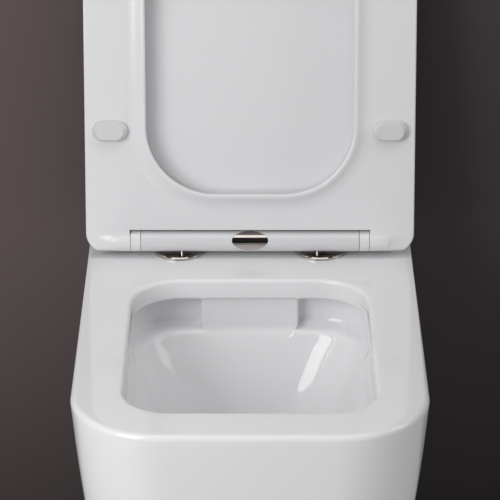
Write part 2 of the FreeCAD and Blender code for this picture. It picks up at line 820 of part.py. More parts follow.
def tilt(drawn):
    """Turn a sketch on the XZ plane so that it faces up towards the user as the button does."""
    drawn.AttachmentOffset = Placement(Vector(), Rotation(Vector(-1, 0, 0), 20))
    bind(drawn, ".AttachmentOffset.Rotation.Angle", "button_tilt")


def ellipse(drawn, half_length, half_height):
    """An ellipse about the sketch's origin, long along its first axis."""
    drawn.addGeometry(Part.Ellipse(Vector(), value(half_length), value(half_height)))
    drawn.exposeInternalGeometry(0)
    pin_point(drawn, 1, 1, half_length, "0")
    pin_point(drawn, 1, 2, f"-({half_length})", "0")
    size = drawn.addConstraint(Sketcher.Constraint("Distance", 2, 2 * value(half_height)))
    bind(drawn, f"Constraints[{size}]", f"2 * ({half_height})")


def make_damper(side_name):
    """Closed soft-close cartridge that plugs one end of the bar and takes the end of a shaft."""
    side = SIDES[side_name]
    body = part(f"damper_{side_name}")
    at_hinge(body)
    drawn = sketch(body, "XY_Plane", name="Cartridge")
    case = "bar_bore - damper_gap"
    hole = "shaft_radius + shaft_running_gap"
    outline(drawn, [
        (f"{side} * (bar_half_length - damper_length)", "0"),
        (f"{side} * (bar_half_length - damper_length)", case),
        (f"{side} * bar_half_length", case),
        (f"{side} * bar_half_length", hole),
        (f"{side} * (bar_half_length - damper_socket)", hole),
        (f"{side} * (bar_half_length - damper_socket)", "0"),
    ])
    turned(body, drawn, "H_Axis", name="Cartridge")
    return body


def keyed_outline(drawn, gap):
    """Round outline with two flats, which takes the keyed end of a shaft."""
    radius = f"(shaft_radius + ({gap}))"
    flat = f"(shaft_flat + ({gap}))"
    run = f"sqrt({radius} ^ 2 - {flat} ^ 2)"
    outline(drawn, [
        (run, flat, radius, "left"),
        (f"-{run}", flat),
        (f"-{run}", f"-{flat}", radius, "left"),
        (run, f"-{flat}"),
    ])


def make_shaft(side_name, keyed_in_ear):
    """Hinge shaft from the damper through the lid's ear into the seat's knuckle."""
    side = SIDES[side_name]
    body = part(f"hinge_shaft_{side_name}")
    at_hinge(body, raised=True)
    start = "bar_half_length - damper_socket + joint_gap"
    ear = "bar_half_length + joint_gap"
    knuckle = f"{ear} + ear_width + joint_gap"
    end = f"{knuckle} + shaft_reach"
    rod = sketch(body, "YZ_Plane", f"{side} * ({start})", "Rod")
    circle(rod, "0", "0", "shaft_radius")
    pad(body, rod, f"{end} - ({start})", back=side < 0, name="Rod")
    first, length = (ear, "ear_width") if keyed_in_ear else (knuckle, "shaft_reach")
    flats = sketch(body, "YZ_Plane", f"{side} * ({first})", "Flats")
    for edge in ("", "-"):
        box_outline(flats, "-shaft_radius - overcut", "shaft_radius + overcut", f"{edge}shaft_flat",
                    f"{edge}(shaft_radius + overcut)")
    pocket(body, flats, length, forward=side > 0, name="Flats")
    return body


def make_button():
    """Elliptical push button, flush with the bar, with a wedge that spreads the two sliders."""
    body = part("release_button")
    at_hinge(body)
    plug = sketch(body, "XZ_Plane", name="Plug")
    tilt(plug)
    ellipse(plug, "button_half_length - button_gap", "button_half_height - button_gap")
    pad(body, plug, "bar_radius + 2 * overcut", name="Plug")
    face = sketch(body, "XY_Plane", name="RoundFace")
    box_outline(face, "-button_half_length - overcut", "button_half_length + overcut", "bar_radius",
                "2 * bar_radius")
    turned(body, face, "H_Axis", cut=True, name="RoundFace")
    for name, reach, half in (("Underside", "button_rim", "bar_radius"),
                              ("Channel", "button_channel_top", "button_channel")):
        below = sketch(body, "XZ_Plane", name=name)
        tilt(below)
        box_outline(below, "-button_half_length - overcut", "button_half_length + overcut", f"-{half}", half)
        pocket(body, below, reach, forward=True, name=name)
    wedge = sketch(body, "XY_Plane", name="Wedge")
    across(wedge)
    top = "wedge_half_tip + wedge_rise"
    outline(wedge, [
        ("-wedge_half_tip", "-wedge_tip_drop"),
        ("wedge_half_tip", "-wedge_tip_drop"),
        (top, "wedge_rise - wedge_tip_drop"),
        (top, "button_channel_top + wedge_root"),
        (f"-({top})", "button_channel_top + wedge_root"),
        (f"-({top})", "wedge_rise - wedge_tip_drop"),
    ])
    made = body.newObject("PartDesign::Pad", "Wedge")
    made.Profile = wedge
    made.Midplane = True
    bind(made, "Length", "wedge_thickness")
    checked(body, made, True)
    return body


def across(drawn):
    """Turn a sketch on the XY plane so that its second axis points the way the button faces."""
    drawn.AttachmentOffset = Placement(Vector(), Rotation(Vector(1, 0, 0), 155))
    bind(drawn, ".AttachmentOffset.Rotation.Angle", "180 - button_tilt")


def make_slider(side_name):
    """Release slider: a ramp at the button, a collar for its spring and a hooked plate at the post pin."""
    side = SIDES[side_name]
    body = part(f"release_slider_{side_name}")
    at_hinge(body)
    stem = sketch(body, "YZ_Plane", f"{side} * slider_start", "Stem")
    box_outline(stem, "-slider_width / 2", "slider_width / 2", "-slider_thickness / 2",
                "slider_thickness / 2")
    pad(body, stem, "slider_plate_start - slider_start + overcut", back=side < 0, name="Stem")
    collar = sketch(body, "YZ_Plane", f"{side} * slider_collar", "Collar")
    circle(collar, "0", "0", "collar_radius")
    pad(body, collar, "collar_width", back=side < 0, name="Collar")
    plate = sketch(body, "XY_Plane", "-slider_thickness / 2", "Plate")
    edges = sorted([f"{side} * slider_plate_start", f"{side} * slider_plate_end"], key=value)
    box_outline(plate, *edges, "-slider_plate_width / 2", "slider_plate_width / 2")
    pad(body, plate, "slider_thickness", name="Plate")
    released = "pin_spacing / 2 - release_travel"
    for name, along, radius in (("ReleaseHole", released, "pin_head + release_gap"),
                                ("HookHole", "pin_spacing / 2", "pin_groove + groove_gap")):
        hole = sketch(body, "XY_Plane", name=name)
        circle(hole, f"{side} * ({along})", "0", radius)
        pocket(body, hole, "2 * slider_thickness", both=True, name=name)
    ramp = sketch(body, "XY_Plane", name="Ramp")
    across(ramp)
    line = "wedge_half_tip + wedge_tip_drop + ramp_gap"
    low, high = "-bar_bore", "bar_bore"
    corners = [
        (f"{side} * ({line} + {low})", low),
        (f"{side} * ({line} + {high})", high),
        (f"-{side} * bar_bore", high),
        (f"-{side} * bar_bore", low),
    ]
    outline(ramp, corners if side > 0 else corners[::-1])
    pocket(body, ramp, "2 * bar_bore", both=True, name="Ramp")
    return body


def make_spring(side_name):
    """Square wire spring between a slider's collar and the partition of the bar."""
    side = SIDES[side_name]
    made = part(f"slider_spring_{side_name}", "Part::Feature")
    wire = value("spring_wire")
    length = value("bar_partition - slider_collar - collar_width") - wire
    radius = value("spring_radius")
    helix = Part.makeHelix(length / value("spring_turns"), length, radius)
    half = wire / 2
    edges = ((-half, -half), (half, -half), (half, half), (-half, half))
    corners = [Vector(radius + x, 0, z) for x, z in edges]
    section = Part.makePolygon(corners + corners[:1])
    made.Shape = Part.Wire(helix.Edges).makePipeShell([section], True, True)
    start = value("slider_collar + collar_width") + half
    made.Placement = Placement(
        Vector(side * start, -value("hinge_setback"), value("rim_level + hinge_height")),
        Rotation(Vector(0, 1, 0), 90 * side))
    return made


# ---------------------------------------------------------------- posts that hold the seat

def make_post_plate(side_name):
    """Round post plate with a sunk bolt hole at its centre and the pin's hole ahead of it."""
    side = SIDES[side_name]
    body = part(f"post_plate_{side_name}")
    place(body, f"{side} * post_spacing / 2", "-post_setback", "rim_level + gasket_thickness")
    disc = sketch(body, "XZ_Plane", name="Disc")
    bolt = "(post_bolt_radius + bolt_fit_gap)"
    head = "(post_bolt_head + bolt_fit_gap)"
    outline(disc, [
        ("plate_radius", "0"),
        ("plate_radius", "plate_thickness - plate_chamfer"),
        ("plate_radius - plate_chamfer", "plate_thickness"),
        (head, "plate_thickness"),
        (bolt, f"plate_thickness - {head} + {bolt}"),
        (bolt, "0"),
    ])
    turned(body, disc, "V_Axis", name="Disc")
    for name, radius, length in (("PinHole", "pin_neck + pin_fit_gap", "plate_thickness"),
                                 ("PinFoot", "pin_foot + pin_fit_gap", "pin_foot_thickness")):
        hole = sketch(body, "XY_Plane", name=name)
        circle(hole, f"{side} * (pin_spacing - post_spacing) / 2", "post_setback - hinge_setback", radius)
        pocket(body, hole, length, forward=True, name=name)
    return body


def make_post_pin(side_name):
    """Pin with a foot under the plate, a slim neck and a grooved head inside the bar."""
    side = SIDES[side_name]
    body = part(f"post_pin_{side_name}")
    place(body, f"{side} * pin_spacing / 2", "-hinge_setback", "rim_level + gasket_thickness")
    drawn = sketch(body, "XZ_Plane", name="Pin")
    axis = "(hinge_height - gasket_thickness)"
    groove = "(slider_thickness / 2 + groove_gap)"
    outline(drawn, [
        ("0", "0"),
        ("pin_foot", "0"),
        ("pin_foot", "pin_foot_thickness"),
        ("pin_neck", "pin_foot_thickness"),
        ("pin_neck", f"{axis} - pin_head_drop"),
        ("pin_head", f"{axis} - pin_head_drop + pin_head - pin_neck"),
        ("pin_head", f"{axis} - {groove}"),
        ("pin_groove", f"{axis} - {groove}"),
        ("pin_groove", f"{axis} + {groove}"),
        ("pin_head", f"{axis} + {groove}"),
        ("pin_head", f"{axis} + pin_head_rise - pin_neck"),
        ("pin_neck / 2", f"{axis} + pin_head_rise"),
        ("0", f"{axis} + pin_head_rise"),
    ])
    turned(body, drawn, "V_Axis", name="Pin")
    return body


def post_group(label, corners, socket=False):
    """Turned pieces, one at each post hole, drawn with their height counted from the rim."""
    pieces = []
    for side_name, side in SIDES.items():
        body = loose(f"{label}_{side_name}")
        place(body, f"{side} * post_spacing / 2", "-post_setback", "rim_level")
        drawn = sketch(body, "XZ_Plane", name="Profile")
        outline(drawn, corners)
        turned(body, drawn, "V_Axis", name="Turning")
        if socket:
            key = sketch(body, "XY_Plane", "gasket_thickness + plate_thickness", "KeySocket")
            hexagon(key, "bolt_socket")
            pocket(body, key, "bolt_socket", name="KeySocket")
        pieces.append(body)
    return group(label, pieces)


def hexagon(drawn, half_flats):
    """Hexagon about the sketch's origin, with two sides along its first axis."""
    side = f"({half_flats}) / sqrt(3)"
    outline(drawn, [
        (f"2 * {side}", "0"),
        (side, half_flats),
        (f"-{side}", half_flats),
        (f"-2 * {side}", "0"),
        (f"-{side}", f"-({half_flats})"),
        (side, f"-({half_flats})"),
    ])


def make_post_fasteners():
    """Gaskets, countersunk bolts, rubber plugs and their nuts, one of each at both post holes."""
    post_group("post_gaskets", [
        ("post_hole", "0"), ("gasket_radius", "0"), ("gasket_radius", "gasket_thickness"),
        ("post_hole", "gasket_thickness"),
    ])
    top = "(gasket_thickness + plate_thickness - bolt_sink)"
    post_group("post_bolts", [
        ("0", top), ("post_bolt_head", top),
        ("post_bolt_radius", f"{top} - post_bolt_head + post_bolt_radius"),
        ("post_bolt_radius", "-post_bolt_length"), ("0", "-post_bolt_length"),
    ], socket=True)
    post_group("expansion_plugs", [
        ("post_bolt_radius + bolt_fit_gap", "0"), ("plug_radius", "0"), ("plug_radius", "-plug_length"),
        ("post_bolt_radius + bolt_fit_gap", "-plug_length"),
    ])
    post_group("plug_nuts", [
        ("post_bolt_radius + pin_fit_gap", "-plug_length"),
        ("plug_radius - plug_nut_gap - plug_nut_taper", "-plug_length"),
        ("plug_radius - plug_nut_gap", "-plug_length - plug_nut_length"),
        ("post_bolt_radius + pin_fit_gap", "-plug_length - plug_nut_length"),
    ])


# ---------------------------------------------------------------- seat and lid, drawn closed

def plan_of_seat(drawn):
    """Plan outline that the seat and the lid share."""
    rounded(drawn, "seat_half_width", "seat_half_width - seat_narrowing", "-seat_tail", "seat_reach",
            "seat_back_corner", "seat_front_corner")


def make_seat():
    """Seat ring with its opening, a bead round it below, and knuckles beside the hinge bar."""
    body = part("seat_ring")
    at_hinge(body, raised=True)
    ring = sketch(body, "XY_Plane", "-seat_underside", "Ring")
    plan_of_seat(ring)
    pad(body, ring, "seat_thickness", name="Ring")
    bead = sketch(body, "XY_Plane", "-seat_underside", "Bead")
    rounded(bead, "seat_opening_half + bead_width", "seat_opening_half + bead_width",
            "seat_opening_back - bead_width", "seat_opening_front + bead_width",
            "opening_back_corner + bead_width", "opening_front_corner + bead_width")
    pad(body, bead, "bead_height", back=True, name="Bead")
    opening = sketch(body, "XY_Plane", "-seat_underside - bead_height", "Opening")
    rounded(opening, "seat_opening_half", "seat_opening_half", "seat_opening_back", "seat_opening_front",
            "opening_back_corner", "opening_front_corner")
    pocket(body, opening, "seat_thickness + bead_height", forward=True, name="Opening")

    low = -value("seat_underside")
    high = low + value("seat_thickness")
    foot = low - value("bead_height")
    half, reach = value("seat_opening_half"), value("seat_opening_front")
    inner = value("seat_opening_back")
    border = value("bead_width")

    def in_opening(point, spread):
        return abs(point.x) < half + spread and -reach - spread < point.y < -inner + spread

    fillet(body, lambda p: near(p.z, foot), "bead_height * rounding_share", name="BeadRounding")
    fillet(body, lambda p: near(p.z, high) and in_opening(p, 0.1), "seat_edge_radius", name="OpeningEdge")
    fillet(body, lambda p: near(p.z, high) and not in_opening(p, border), "seat_edge_radius", name="TopEdge")
    fillet(body, lambda p: near(p.z, low) and not in_opening(p, border + 1), "lower_edge_radius",
           name="LowerEdge")
    rounding = sketch(body, "YZ_Plane", name="TailRounding")
    outline(rounding, [
        ("seat_tail + overcut", "0"),
        ("bar_radius", "0"),
        ("0", "-bar_radius", "bar_radius", "right"),
        ("seat_tail + overcut", "-bar_radius"),
    ])
    pocket(body, rounding, "2 * seat_half_width + overcut", both=True, name="TailRounding")

    notch = sketch(body, "XY_Plane", "-seat_underside - bead_height", "HingeNotch")
    box_outline(notch, "-notch_half", "notch_half", "-notch_reach", "seat_tail + overcut")
    pocket(body, notch, "seat_thickness + bead_height", forward=True, name="HingeNotch")
    inside = "bar_half_length + 2 * joint_gap + ear_width"
    knuckles = sketch(body, "XY_Plane", name="Knuckles")
    for side in SIDES.values():
        turn = "left" if side < 0 else "right"
        outline(knuckles, [
            (f"{side} * ({inside})", "0"),
            (f"{side} * ({inside})", "bar_radius"),
            (f"{side} * ({inside} + knuckle_length)", "bar_radius"),
            (f"{side} * ({inside} + knuckle_length + knuckle_nose)", "0", "knuckle_nose_radius", turn),
        ])
    turned(body, knuckles, "H_Axis", name="Knuckles")
    for side_name, side in SIDES.items():
        bore = sketch(body, "YZ_Plane", f"{side} * ({inside})", "ShaftHole")
        if side_name == "left":
            keyed_outline(bore, "key_gap")
        else:
            circle(bore, "0", "0", "shaft_radius + shaft_running_gap")
        pocket(body, bore, "shaft_reach + joint_gap", forward=side > 0, name="ShaftHole")
    return body


def make_lid():
    """Lid with rounded top edges, a shallow dish below, and an ear at each end of the hinge bar."""
    body = part("lid")
    at_hinge(body, raised=True)
    inner = "(seat_thickness - seat_underside + lid_gap)"
    plate = sketch(body, "XY_Plane", inner, "Plate")
    plan_of_seat(plate)
    pad(body, plate, "lid_thickness", name="Plate")
    low = value(inner)
    high = low + value("lid_thickness")
    fillet(body, lambda p: near(p.z, high), "lid_edge_radius", name="TopEdge")
    fillet(body, lambda p: near(p.z, low), "lower_edge_radius", name="LowerEdge")
    dish = sketch(body, "XY_Plane", inner, "Dish")
    rounded(dish, "seat_half_width - lid_border", "seat_half_width - lid_border",
            "notch_reach + lid_border / 2", "seat_reach - lid_border", "seat_front_corner - lid_border",
            "seat_front_corner - lid_border")
    pocket(body, dish, "lid_dish", forward=True, name="Dish")
    deep = value(f"{inner} + lid_dish")
    fillet(body, lambda p: near(p.z, deep), "lid_dish * rounding_share", name="DishEdge")
    groove = sketch(body, "YZ_Plane", name="HingeGroove")
    circle(groove, "0", "0", "lid_groove")
    pocket(body, groove, "2 * seat_half_width + overcut", both=True, name="HingeGroove")
    for side_name, side in SIDES.items():
        ear = sketch(body, "YZ_Plane", f"{side} * (bar_half_length + joint_gap)", "Ear")
        outline(ear, [
            ("bar_radius", f"{inner} + lid_dish"),
            ("-bar_radius", f"{inner} + lid_dish"),
            ("-bar_radius", "0"),
            ("0", "-bar_radius", "bar_radius", "left"),
            ("bar_radius", "0", "bar_radius", "left"),
        ])
        pad(body, ear, "ear_width", back=side < 0, name="Ear")
        bore = sketch(body, "YZ_Plane", f"{side} * (bar_half_length + joint_gap)", "ShaftHole")
        if side_name == "right":
            keyed_outline(bore, "key_gap")
        else:
            circle(bore, "0", "0", "shaft_radius + shaft_running_gap")
        pocket(body, bore, "ear_width", forward=side > 0, name="ShaftHole")
    return body


def stadium(drawn, length, width):
    """Outline with two straight sides along the first axis and round ends."""
    run = f"(({length}) - ({width})) / 2"
    half = f"({width}) / 2"
    outline(drawn, [
        (f"-{run}", half),
        (f"-{run} - {half}", "0", half, "left"),
        (f"-{run}", f"-{half}", half, "left"),
        (run, f"-{half}"),
        (f"{run} + {half}", "0", half, "left"),
        (run, half, half, "left"),
    ])


def make_seat_bumpers():
    """Four soft stadium-shaped bumpers on the underside of the seat."""
    pieces = []
    spots = (("bumper_half_spacing", "bumper_back"), ("bumper_front_half_spacing", "bumper_front"))
    for aside, along in spots:
        for side in SIDES.values():
            body = loose("seat_bumper")
            at_hinge(body, raised=True)
            drawings = []
            for share, length, width in ((0.0, "bumper_length", "bumper_width"),
                                         (value("bumper_shoulder"), "bumper_length - bumper_edge",
                                          "bumper_width - bumper_edge"),
                                         (1.0, "bumper_top_length", "bumper_top_width")):
                drawn = body.newObject("Sketcher::SketchObject", "Section")
                plane = next(item for item in body.Origin.OriginFeatures if item.Role == "XY_Plane")
                drawn.AttachmentSupport = [(plane, "")]
                drawn.MapMode = "FlatFace"
                bind(drawn, ".AttachmentOffset.Base.x", f"{side} * {aside}")
                bind(drawn, ".AttachmentOffset.Base.y", f"-{along}")
                bind(drawn, ".AttachmentOffset.Base.z", f"-seat_underside - bumper_height * {share}")
                stadium(drawn, length, width)
                drawings.append(drawn)
            made = loft(body, drawings, name="Bumper")
            made.Ruled = True
            doc.recompute()
            pieces.append(body)
    return group("seat_bumpers", pieces)


def make_lid_bumpers():
    """Four thin round pads between the lid and the seat."""
    pieces = []
    spots = (("lid_bumper_back_half", "lid_bumper_back"), ("lid_bumper_front_half", "lid_bumper_front"))
    for aside, along in spots:
        for side in SIDES.values():
            body = loose("lid_bumper")
            at_hinge(body, raised=True)
            drawn = sketch(body, "XY_Plane", "seat_thickness - seat_underside + lid_gap", "Pad")
            circle(drawn, f"{side} * ({aside})", f"-({along})", "lid_bumper_radius")
            pad(body, drawn, "lid_bumper_height", back=True, name="Pad")
            pieces.append(body)
    return group("lid_bumpers", pieces)


# ---------------------------------------------------------------- concealed wall fixings

def flank_half():
    """Half width of the pan's flank at the side holes."""
    narrowing = "back_narrowing * (1 - side_hole_setback / (pan_length - front_corner))"
    return f"({form_half('rim_level')} - {narrowing})"


def make_bracket(side_name):
    """Angle bracket: a plate on the wall, an arm along the flank and a threaded boss for the side screw."""
    side = SIDES[side_name]
    body = part(f"wall_bracket_{side_name}")
    base = sketch(body, "XZ_Plane", name="Base")
    edges = sorted([f"{side} * bracket_inner", f"{side} * bracket_outer"], key=value)
    box_outline(base, *edges, "-bracket_half_height", "bracket_half_height")
    pad(body, base, "bracket_thickness", name="Base")
    arm = sketch(body, "XY_Plane", "-bracket_half_height", "Arm")
    edges = sorted([f"{side} * bracket_outer", f"{side} * (bracket_outer - bracket_thickness)"], key=value)
    box_outline(arm, *edges, "-bracket_reach", "0")
    pad(body, arm, "2 * bracket_half_height", name="Arm")
    for level in ("-bracket_half_height", "bracket_half_height - bracket_thickness / 2"):
        rib = sketch(body, "XY_Plane", level, "Rib")
        corners = [
            (f"{side} * (bracket_outer - rib_sink)", "-rib_sink"),
            (f"{side} * (bracket_outer - rib_sink)", "-bracket_reach"),
            (f"{side} * (bracket_outer - bracket_thickness)", "-bracket_reach"),
            (f"{side} * bracket_inner", "-bracket_thickness"),
            (f"{side} * bracket_inner", "-rib_sink"),
        ]
        outline(rib, corners)
        pad(body, rib, "bracket_thickness / 2", name="Rib")
    boss = sketch(body, "YZ_Plane", f"{side} * (bracket_outer - bracket_boss_length)", "Boss")
    circle(boss, "-side_hole_setback", "0", "bracket_boss")
    pad(body, boss, "bracket_boss_length", back=side < 0, name="Boss")
    bolt = sketch(body, "XZ_Plane", name="BoltHole")
    circle(bolt, f"{side} * bolt_spacing / 2", "0", "bolt_hole")
    pocket(body, bolt, "bracket_thickness", forward=True, name="BoltHole")
    thread = sketch(body, "YZ_Plane", f"{side} * bracket_outer", "ScrewHole")
    circle(thread, "-side_hole_setback", "0", "side_screw_radius + pin_fit_gap")
    pocket(body, thread, "bracket_boss_length", forward=side < 0, name="ScrewHole")
    return body


def make_wall_fasteners():
    """Washers and hexagon nuts that hold both brackets on the studs in the wall."""
    washers, nuts = [], []
    for side in SIDES.values():
        washer = loose("wall_washer")
        place(washer, f"{side} * bolt_spacing / 2")
        drawn = sketch(washer, "XZ_Plane", "bracket_thickness", "Washer")
        circle(drawn, "0", "0", "washer_radius")
        circle(drawn, "0", "0", "bolt_hole")
        pad(washer, drawn, "washer_thickness", name="Washer")
        washers.append(washer)
        nut = loose("wall_nut")
        place(nut, f"{side} * bolt_spacing / 2")
        drawn = sketch(nut, "XZ_Plane", "bracket_thickness + washer_thickness", "Nut")
        hexagon(drawn, "nut_across_flats / 2")
        circle(drawn, "0", "0", "nut_bore")
        pad(nut, drawn, "nut_thickness", name="Nut")
        nuts.append(nut)
    group("wall_washers", washers)
    group("wall_nuts", nuts)


def side_group(label, corners):
    """Turned pieces, one in each side hole, drawn along the hole's axis outwards from the pan's middle."""
    pieces = []
    for side_name, side in SIDES.items():
        body = loose(f"{label}_{side_name}")
        place(body, y="-side_hole_setback")
        drawn = sketch(body, "XY_Plane", name="Profile")
        outline(drawn, [(f"{side} * ({along})", radius) for along, radius in corners])
        turned(body, drawn, "H_Axis", name="Turning")
        pieces.append(body)
    return group(label, pieces)


def make_side_fasteners():
    """Bush, screw and cap in each flank: the screws pull the pan onto its brackets."""
    inside = f"({flank_half()} - shell_wall - bush_overhang)"
    face = f"({flank_half()} - bush_sink)"
    bush = "(side_hole - side_fit_gap)"
    screw = "(side_screw_radius + side_fit_gap)"
    head = "(side_screw_head + side_fit_gap)"
    seat_of_head = f"({face} - side_screw_head_length - head_sink)"
    side_group("side_bushes", [
        (inside, screw), (inside, bush), (face, bush), (face, head), (seat_of_head, head),
        (seat_of_head, screw),
    ])
    side_group("side_screws", [
        ("bracket_outer - bracket_boss_length", "0"),
        ("bracket_outer - bracket_boss_length", "side_screw_radius"),
        (seat_of_head, "side_screw_radius"),
        (seat_of_head, "side_screw_head"),
        (f"{seat_of_head} + side_screw_head_length", "side_screw_head"),
        (f"{seat_of_head} + side_screw_head_length", "0"),
    ])


def make_side_caps():
    """Thin caps that close the side holes, leaning with the flank."""
    pieces = []
    lean = f"atan((({form_half('rim_level - cap_radius')}) - ({form_half('rim_level + cap_radius')}))"
    lean += " / (2 * cap_radius))"
    for side in SIDES.values():
        body = loose("side_cap")
        body.Placement = Placement(Vector(), Rotation(Vector(0, side, 0), 5))
        bind(body, ".Placement.Rotation.Angle", lean)
        place(body, f"{side} * ({flank_half()} + cap_standoff)", "-side_hole_setback", "0")
        drawn = sketch(body, "XY_Plane", name="Cap")
        outline(drawn, [
            ("0", "0"),
            ("0", "cap_radius"),
            (f"{side} * cap_thickness / 2", "cap_radius"),
            (f"{side} * cap_thickness", "cap_radius - cap_thickness / 2"),
            (f"{side} * cap_thickness", "0"),
        ])
        turned(body, drawn, "H_Axis", name="Cap")
        pieces.append(body)
    return group("side_caps", pieces)


make_pan()
make_bowl()
make_trapway()
make_flush_inlet()
make_hinge_bar()
make_button()
for name in SIDES:
    make_damper(name)
    make_shaft(name, keyed_in_ear=name == "right")
    make_slider(name)
    make_spring(name)
    make_post_plate(name)
    make_post_pin(name)
    make_bracket(name)
make_post_fasteners()
make_seat()
make_seat_bumpers()
make_lid()
make_lid_bumpers()
make_wall_fasteners()
make_side_fasteners()
make_side_caps()

doc.recompute()
for item in doc.Objects:
    if "Invalid" in item.State or "Error" in item.State:
        raise RuntimeError(f"{item.Label} failed: {item.State}")
os.makedirs("parts", exist_ok=True)
for item in parts:
    if item.Shape.isNull() or not item.Shape.isValid():
        raise RuntimeError(f"{item.Label} has no valid solid")
    item.Shape.exportStep(f"parts/{item.Label}.step")
    print(f"{item.Label}: {len(item.Shape.Solids)} solids, {item.Shape.Volume / 1000:.2f} cm3")
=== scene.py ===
"""Looks of a wall hung toilet: its glazed pan, soft-close seat and lid, hinge bar and fixings.

Every length is in metres in the part's own frame: +Z up, +Y into the wall, and the origin midway
between the two wall bolts, on the wall plane. Sizes written in millimetres go through MM.
"""

import logging
import math
from dataclasses import dataclass, field
from enum import Enum
from typing import Callable

import bmesh
import bpy
import numpy as np
from bpy.types import Material, Mesh, Node, NodeTree, Object
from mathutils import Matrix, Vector
from mathutils.bvhtree import BVHTree


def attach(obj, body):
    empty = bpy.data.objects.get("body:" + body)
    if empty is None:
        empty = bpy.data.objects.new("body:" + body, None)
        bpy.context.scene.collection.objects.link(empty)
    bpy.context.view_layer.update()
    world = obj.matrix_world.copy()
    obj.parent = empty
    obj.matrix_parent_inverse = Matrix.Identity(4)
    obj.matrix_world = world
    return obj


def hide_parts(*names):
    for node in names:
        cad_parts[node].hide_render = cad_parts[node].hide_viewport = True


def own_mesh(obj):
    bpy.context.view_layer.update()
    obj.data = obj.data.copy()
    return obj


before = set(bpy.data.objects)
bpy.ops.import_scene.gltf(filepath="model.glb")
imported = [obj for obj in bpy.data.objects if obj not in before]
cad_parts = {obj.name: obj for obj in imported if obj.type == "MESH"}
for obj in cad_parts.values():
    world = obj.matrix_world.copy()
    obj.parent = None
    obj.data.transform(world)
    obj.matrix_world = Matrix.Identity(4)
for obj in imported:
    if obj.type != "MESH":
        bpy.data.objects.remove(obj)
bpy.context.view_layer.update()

MM = 0.001
MERGE_DISTANCE = 0.01 * MM
TINY = 1e-9
NEAR_ZERO = 1e-6
MIRROR = np.array((-1, 1, 1))
RIM = 80.0
HINGE = (-118.0, 98.3)
LOG = logging.getLogger("toilet")

Pair = tuple[float, float]
Point = np.ndarray
Colour = tuple[float, float, float]
Triple = tuple[float, float, float]
Values = dict[str | int, object]


def grey(level: int, warmth: float = 0.0) -> Colour:
    """Returns a linear colour near grey.

    Args:
        level: Display level of the grey, 0 to 255.
        warmth: How far red is lifted and blue lowered, as a share of the level. Below zero only
            blue is lifted.

    Returns:
        Red, green and blue.
    """
    linear = ((level / 255 + 0.055) / 1.055) ** 2.4
    return (linear * (1 + max(warmth, 0)), linear, linear * (1 - warmth))


def put(name: str, data: bpy.types.ID) -> Object:
    """Puts an object in the scene.

    Args:
        name: Name of the object.
        data: Its mesh, lamp or camera.

    Returns:
        The object.
    """
    made = bpy.data.objects.new(name, data)
    bpy.context.scene.collection.objects.link(made)
    return made


# Finishes


def set_inputs(node: Node, values: Values) -> None:
    """Sets inputs of a node, by socket."""
    for socket, value in values.items():
        node.inputs[socket].default_value = value


@dataclass
class Nodes:
    """Short hand for building a node tree."""

    tree: NodeTree

    def add(self, kind: str, values: Values | None = None, **settings: object) -> Node:
        """Adds a node.

        Args:
            kind: Name of the type of node.
            values: What its inputs stand at, by socket.
            **settings: Properties of the node.

        Returns:
            The new node.
        """
        node = self.tree.nodes.new(kind)
        for name, value in settings.items():
            setattr(node, name, value)
        set_inputs(node, values or {})
        return node

    def mix(self, first: Colour, second: Colour) -> Node:
        """Adds a mix of two colours."""
        return self.add("ShaderNodeMix", {"A": (*first, 1), "B": (*second, 1)}, data_type="RGBA")

    def join(self, *links: tuple[Node, str | int, Node, str | int]) -> None:
        """Makes links, each given as a node, its output, another node and its input."""
        for source, output, target, socket in links:
            self.tree.links.new(source.outputs[output], target.inputs[socket])


def new_material(name: str, values: Values) -> tuple[Material, Nodes, Node]:
    """Makes a material.

    Args:
        name: Name of the material.
        values: What its shader's inputs stand at.

    Returns:
        The material, its nodes and its shader.
    """
    material = bpy.data.materials.new(name)
    material.use_nodes = True
    shader = material.node_tree.nodes["Principled BSDF"]
    set_inputs(shader, values)
    return material, Nodes(material.node_tree), shader


FROM = ("From Min", "From Max")
TO = ("To Min", "To Max")
WAVE_DETAIL = 2.0
GRAIN_DETAIL = 1.0
GRAIN_SHARE = 0.06
MASK_RANGE = (0.3, 0.7)


def surface_wave_group() -> NodeTree:
    """Builds the slow unevenness of a glazed or moulded surface.

    Returns:
        A group that puts out a height for a Bump node and a mask that varies over the surface.
    """
    group = bpy.data.node_groups.new("surface_wave", "ShaderNodeTree")
    for name, way in (("Scale", "INPUT"), ("Fine Scale", "INPUT"), ("Height", "OUTPUT"), ("Mask", "OUTPUT")):
        group.interface.new_socket(name, in_out=way, socket_type="NodeSocketFloat")
    nodes = Nodes(group)
    given = nodes.add("NodeGroupInput")
    result = nodes.add("NodeGroupOutput")
    place = nodes.add("ShaderNodeTexCoord")
    slow = nodes.add("ShaderNodeTexNoise", {"Detail": WAVE_DETAIL})
    fine = nodes.add("ShaderNodeTexNoise", {"Detail": GRAIN_DETAIL})
    mixed = nodes.add("ShaderNodeMath", {1: GRAIN_SHARE}, operation="MULTIPLY_ADD")
    nodes.join(
        (place, "Object", slow, "Vector"),
        (place, "Object", fine, "Vector"),
        (given, "Scale", slow, "Scale"),
        (given, "Fine Scale", fine, "Scale"),
        (fine, "Fac", mixed, 0),
        (slow, "Fac", mixed, 2),
        (mixed, 0, result, "Height"),
        (slow, "Fac", result, "Mask"),
    )
    return group


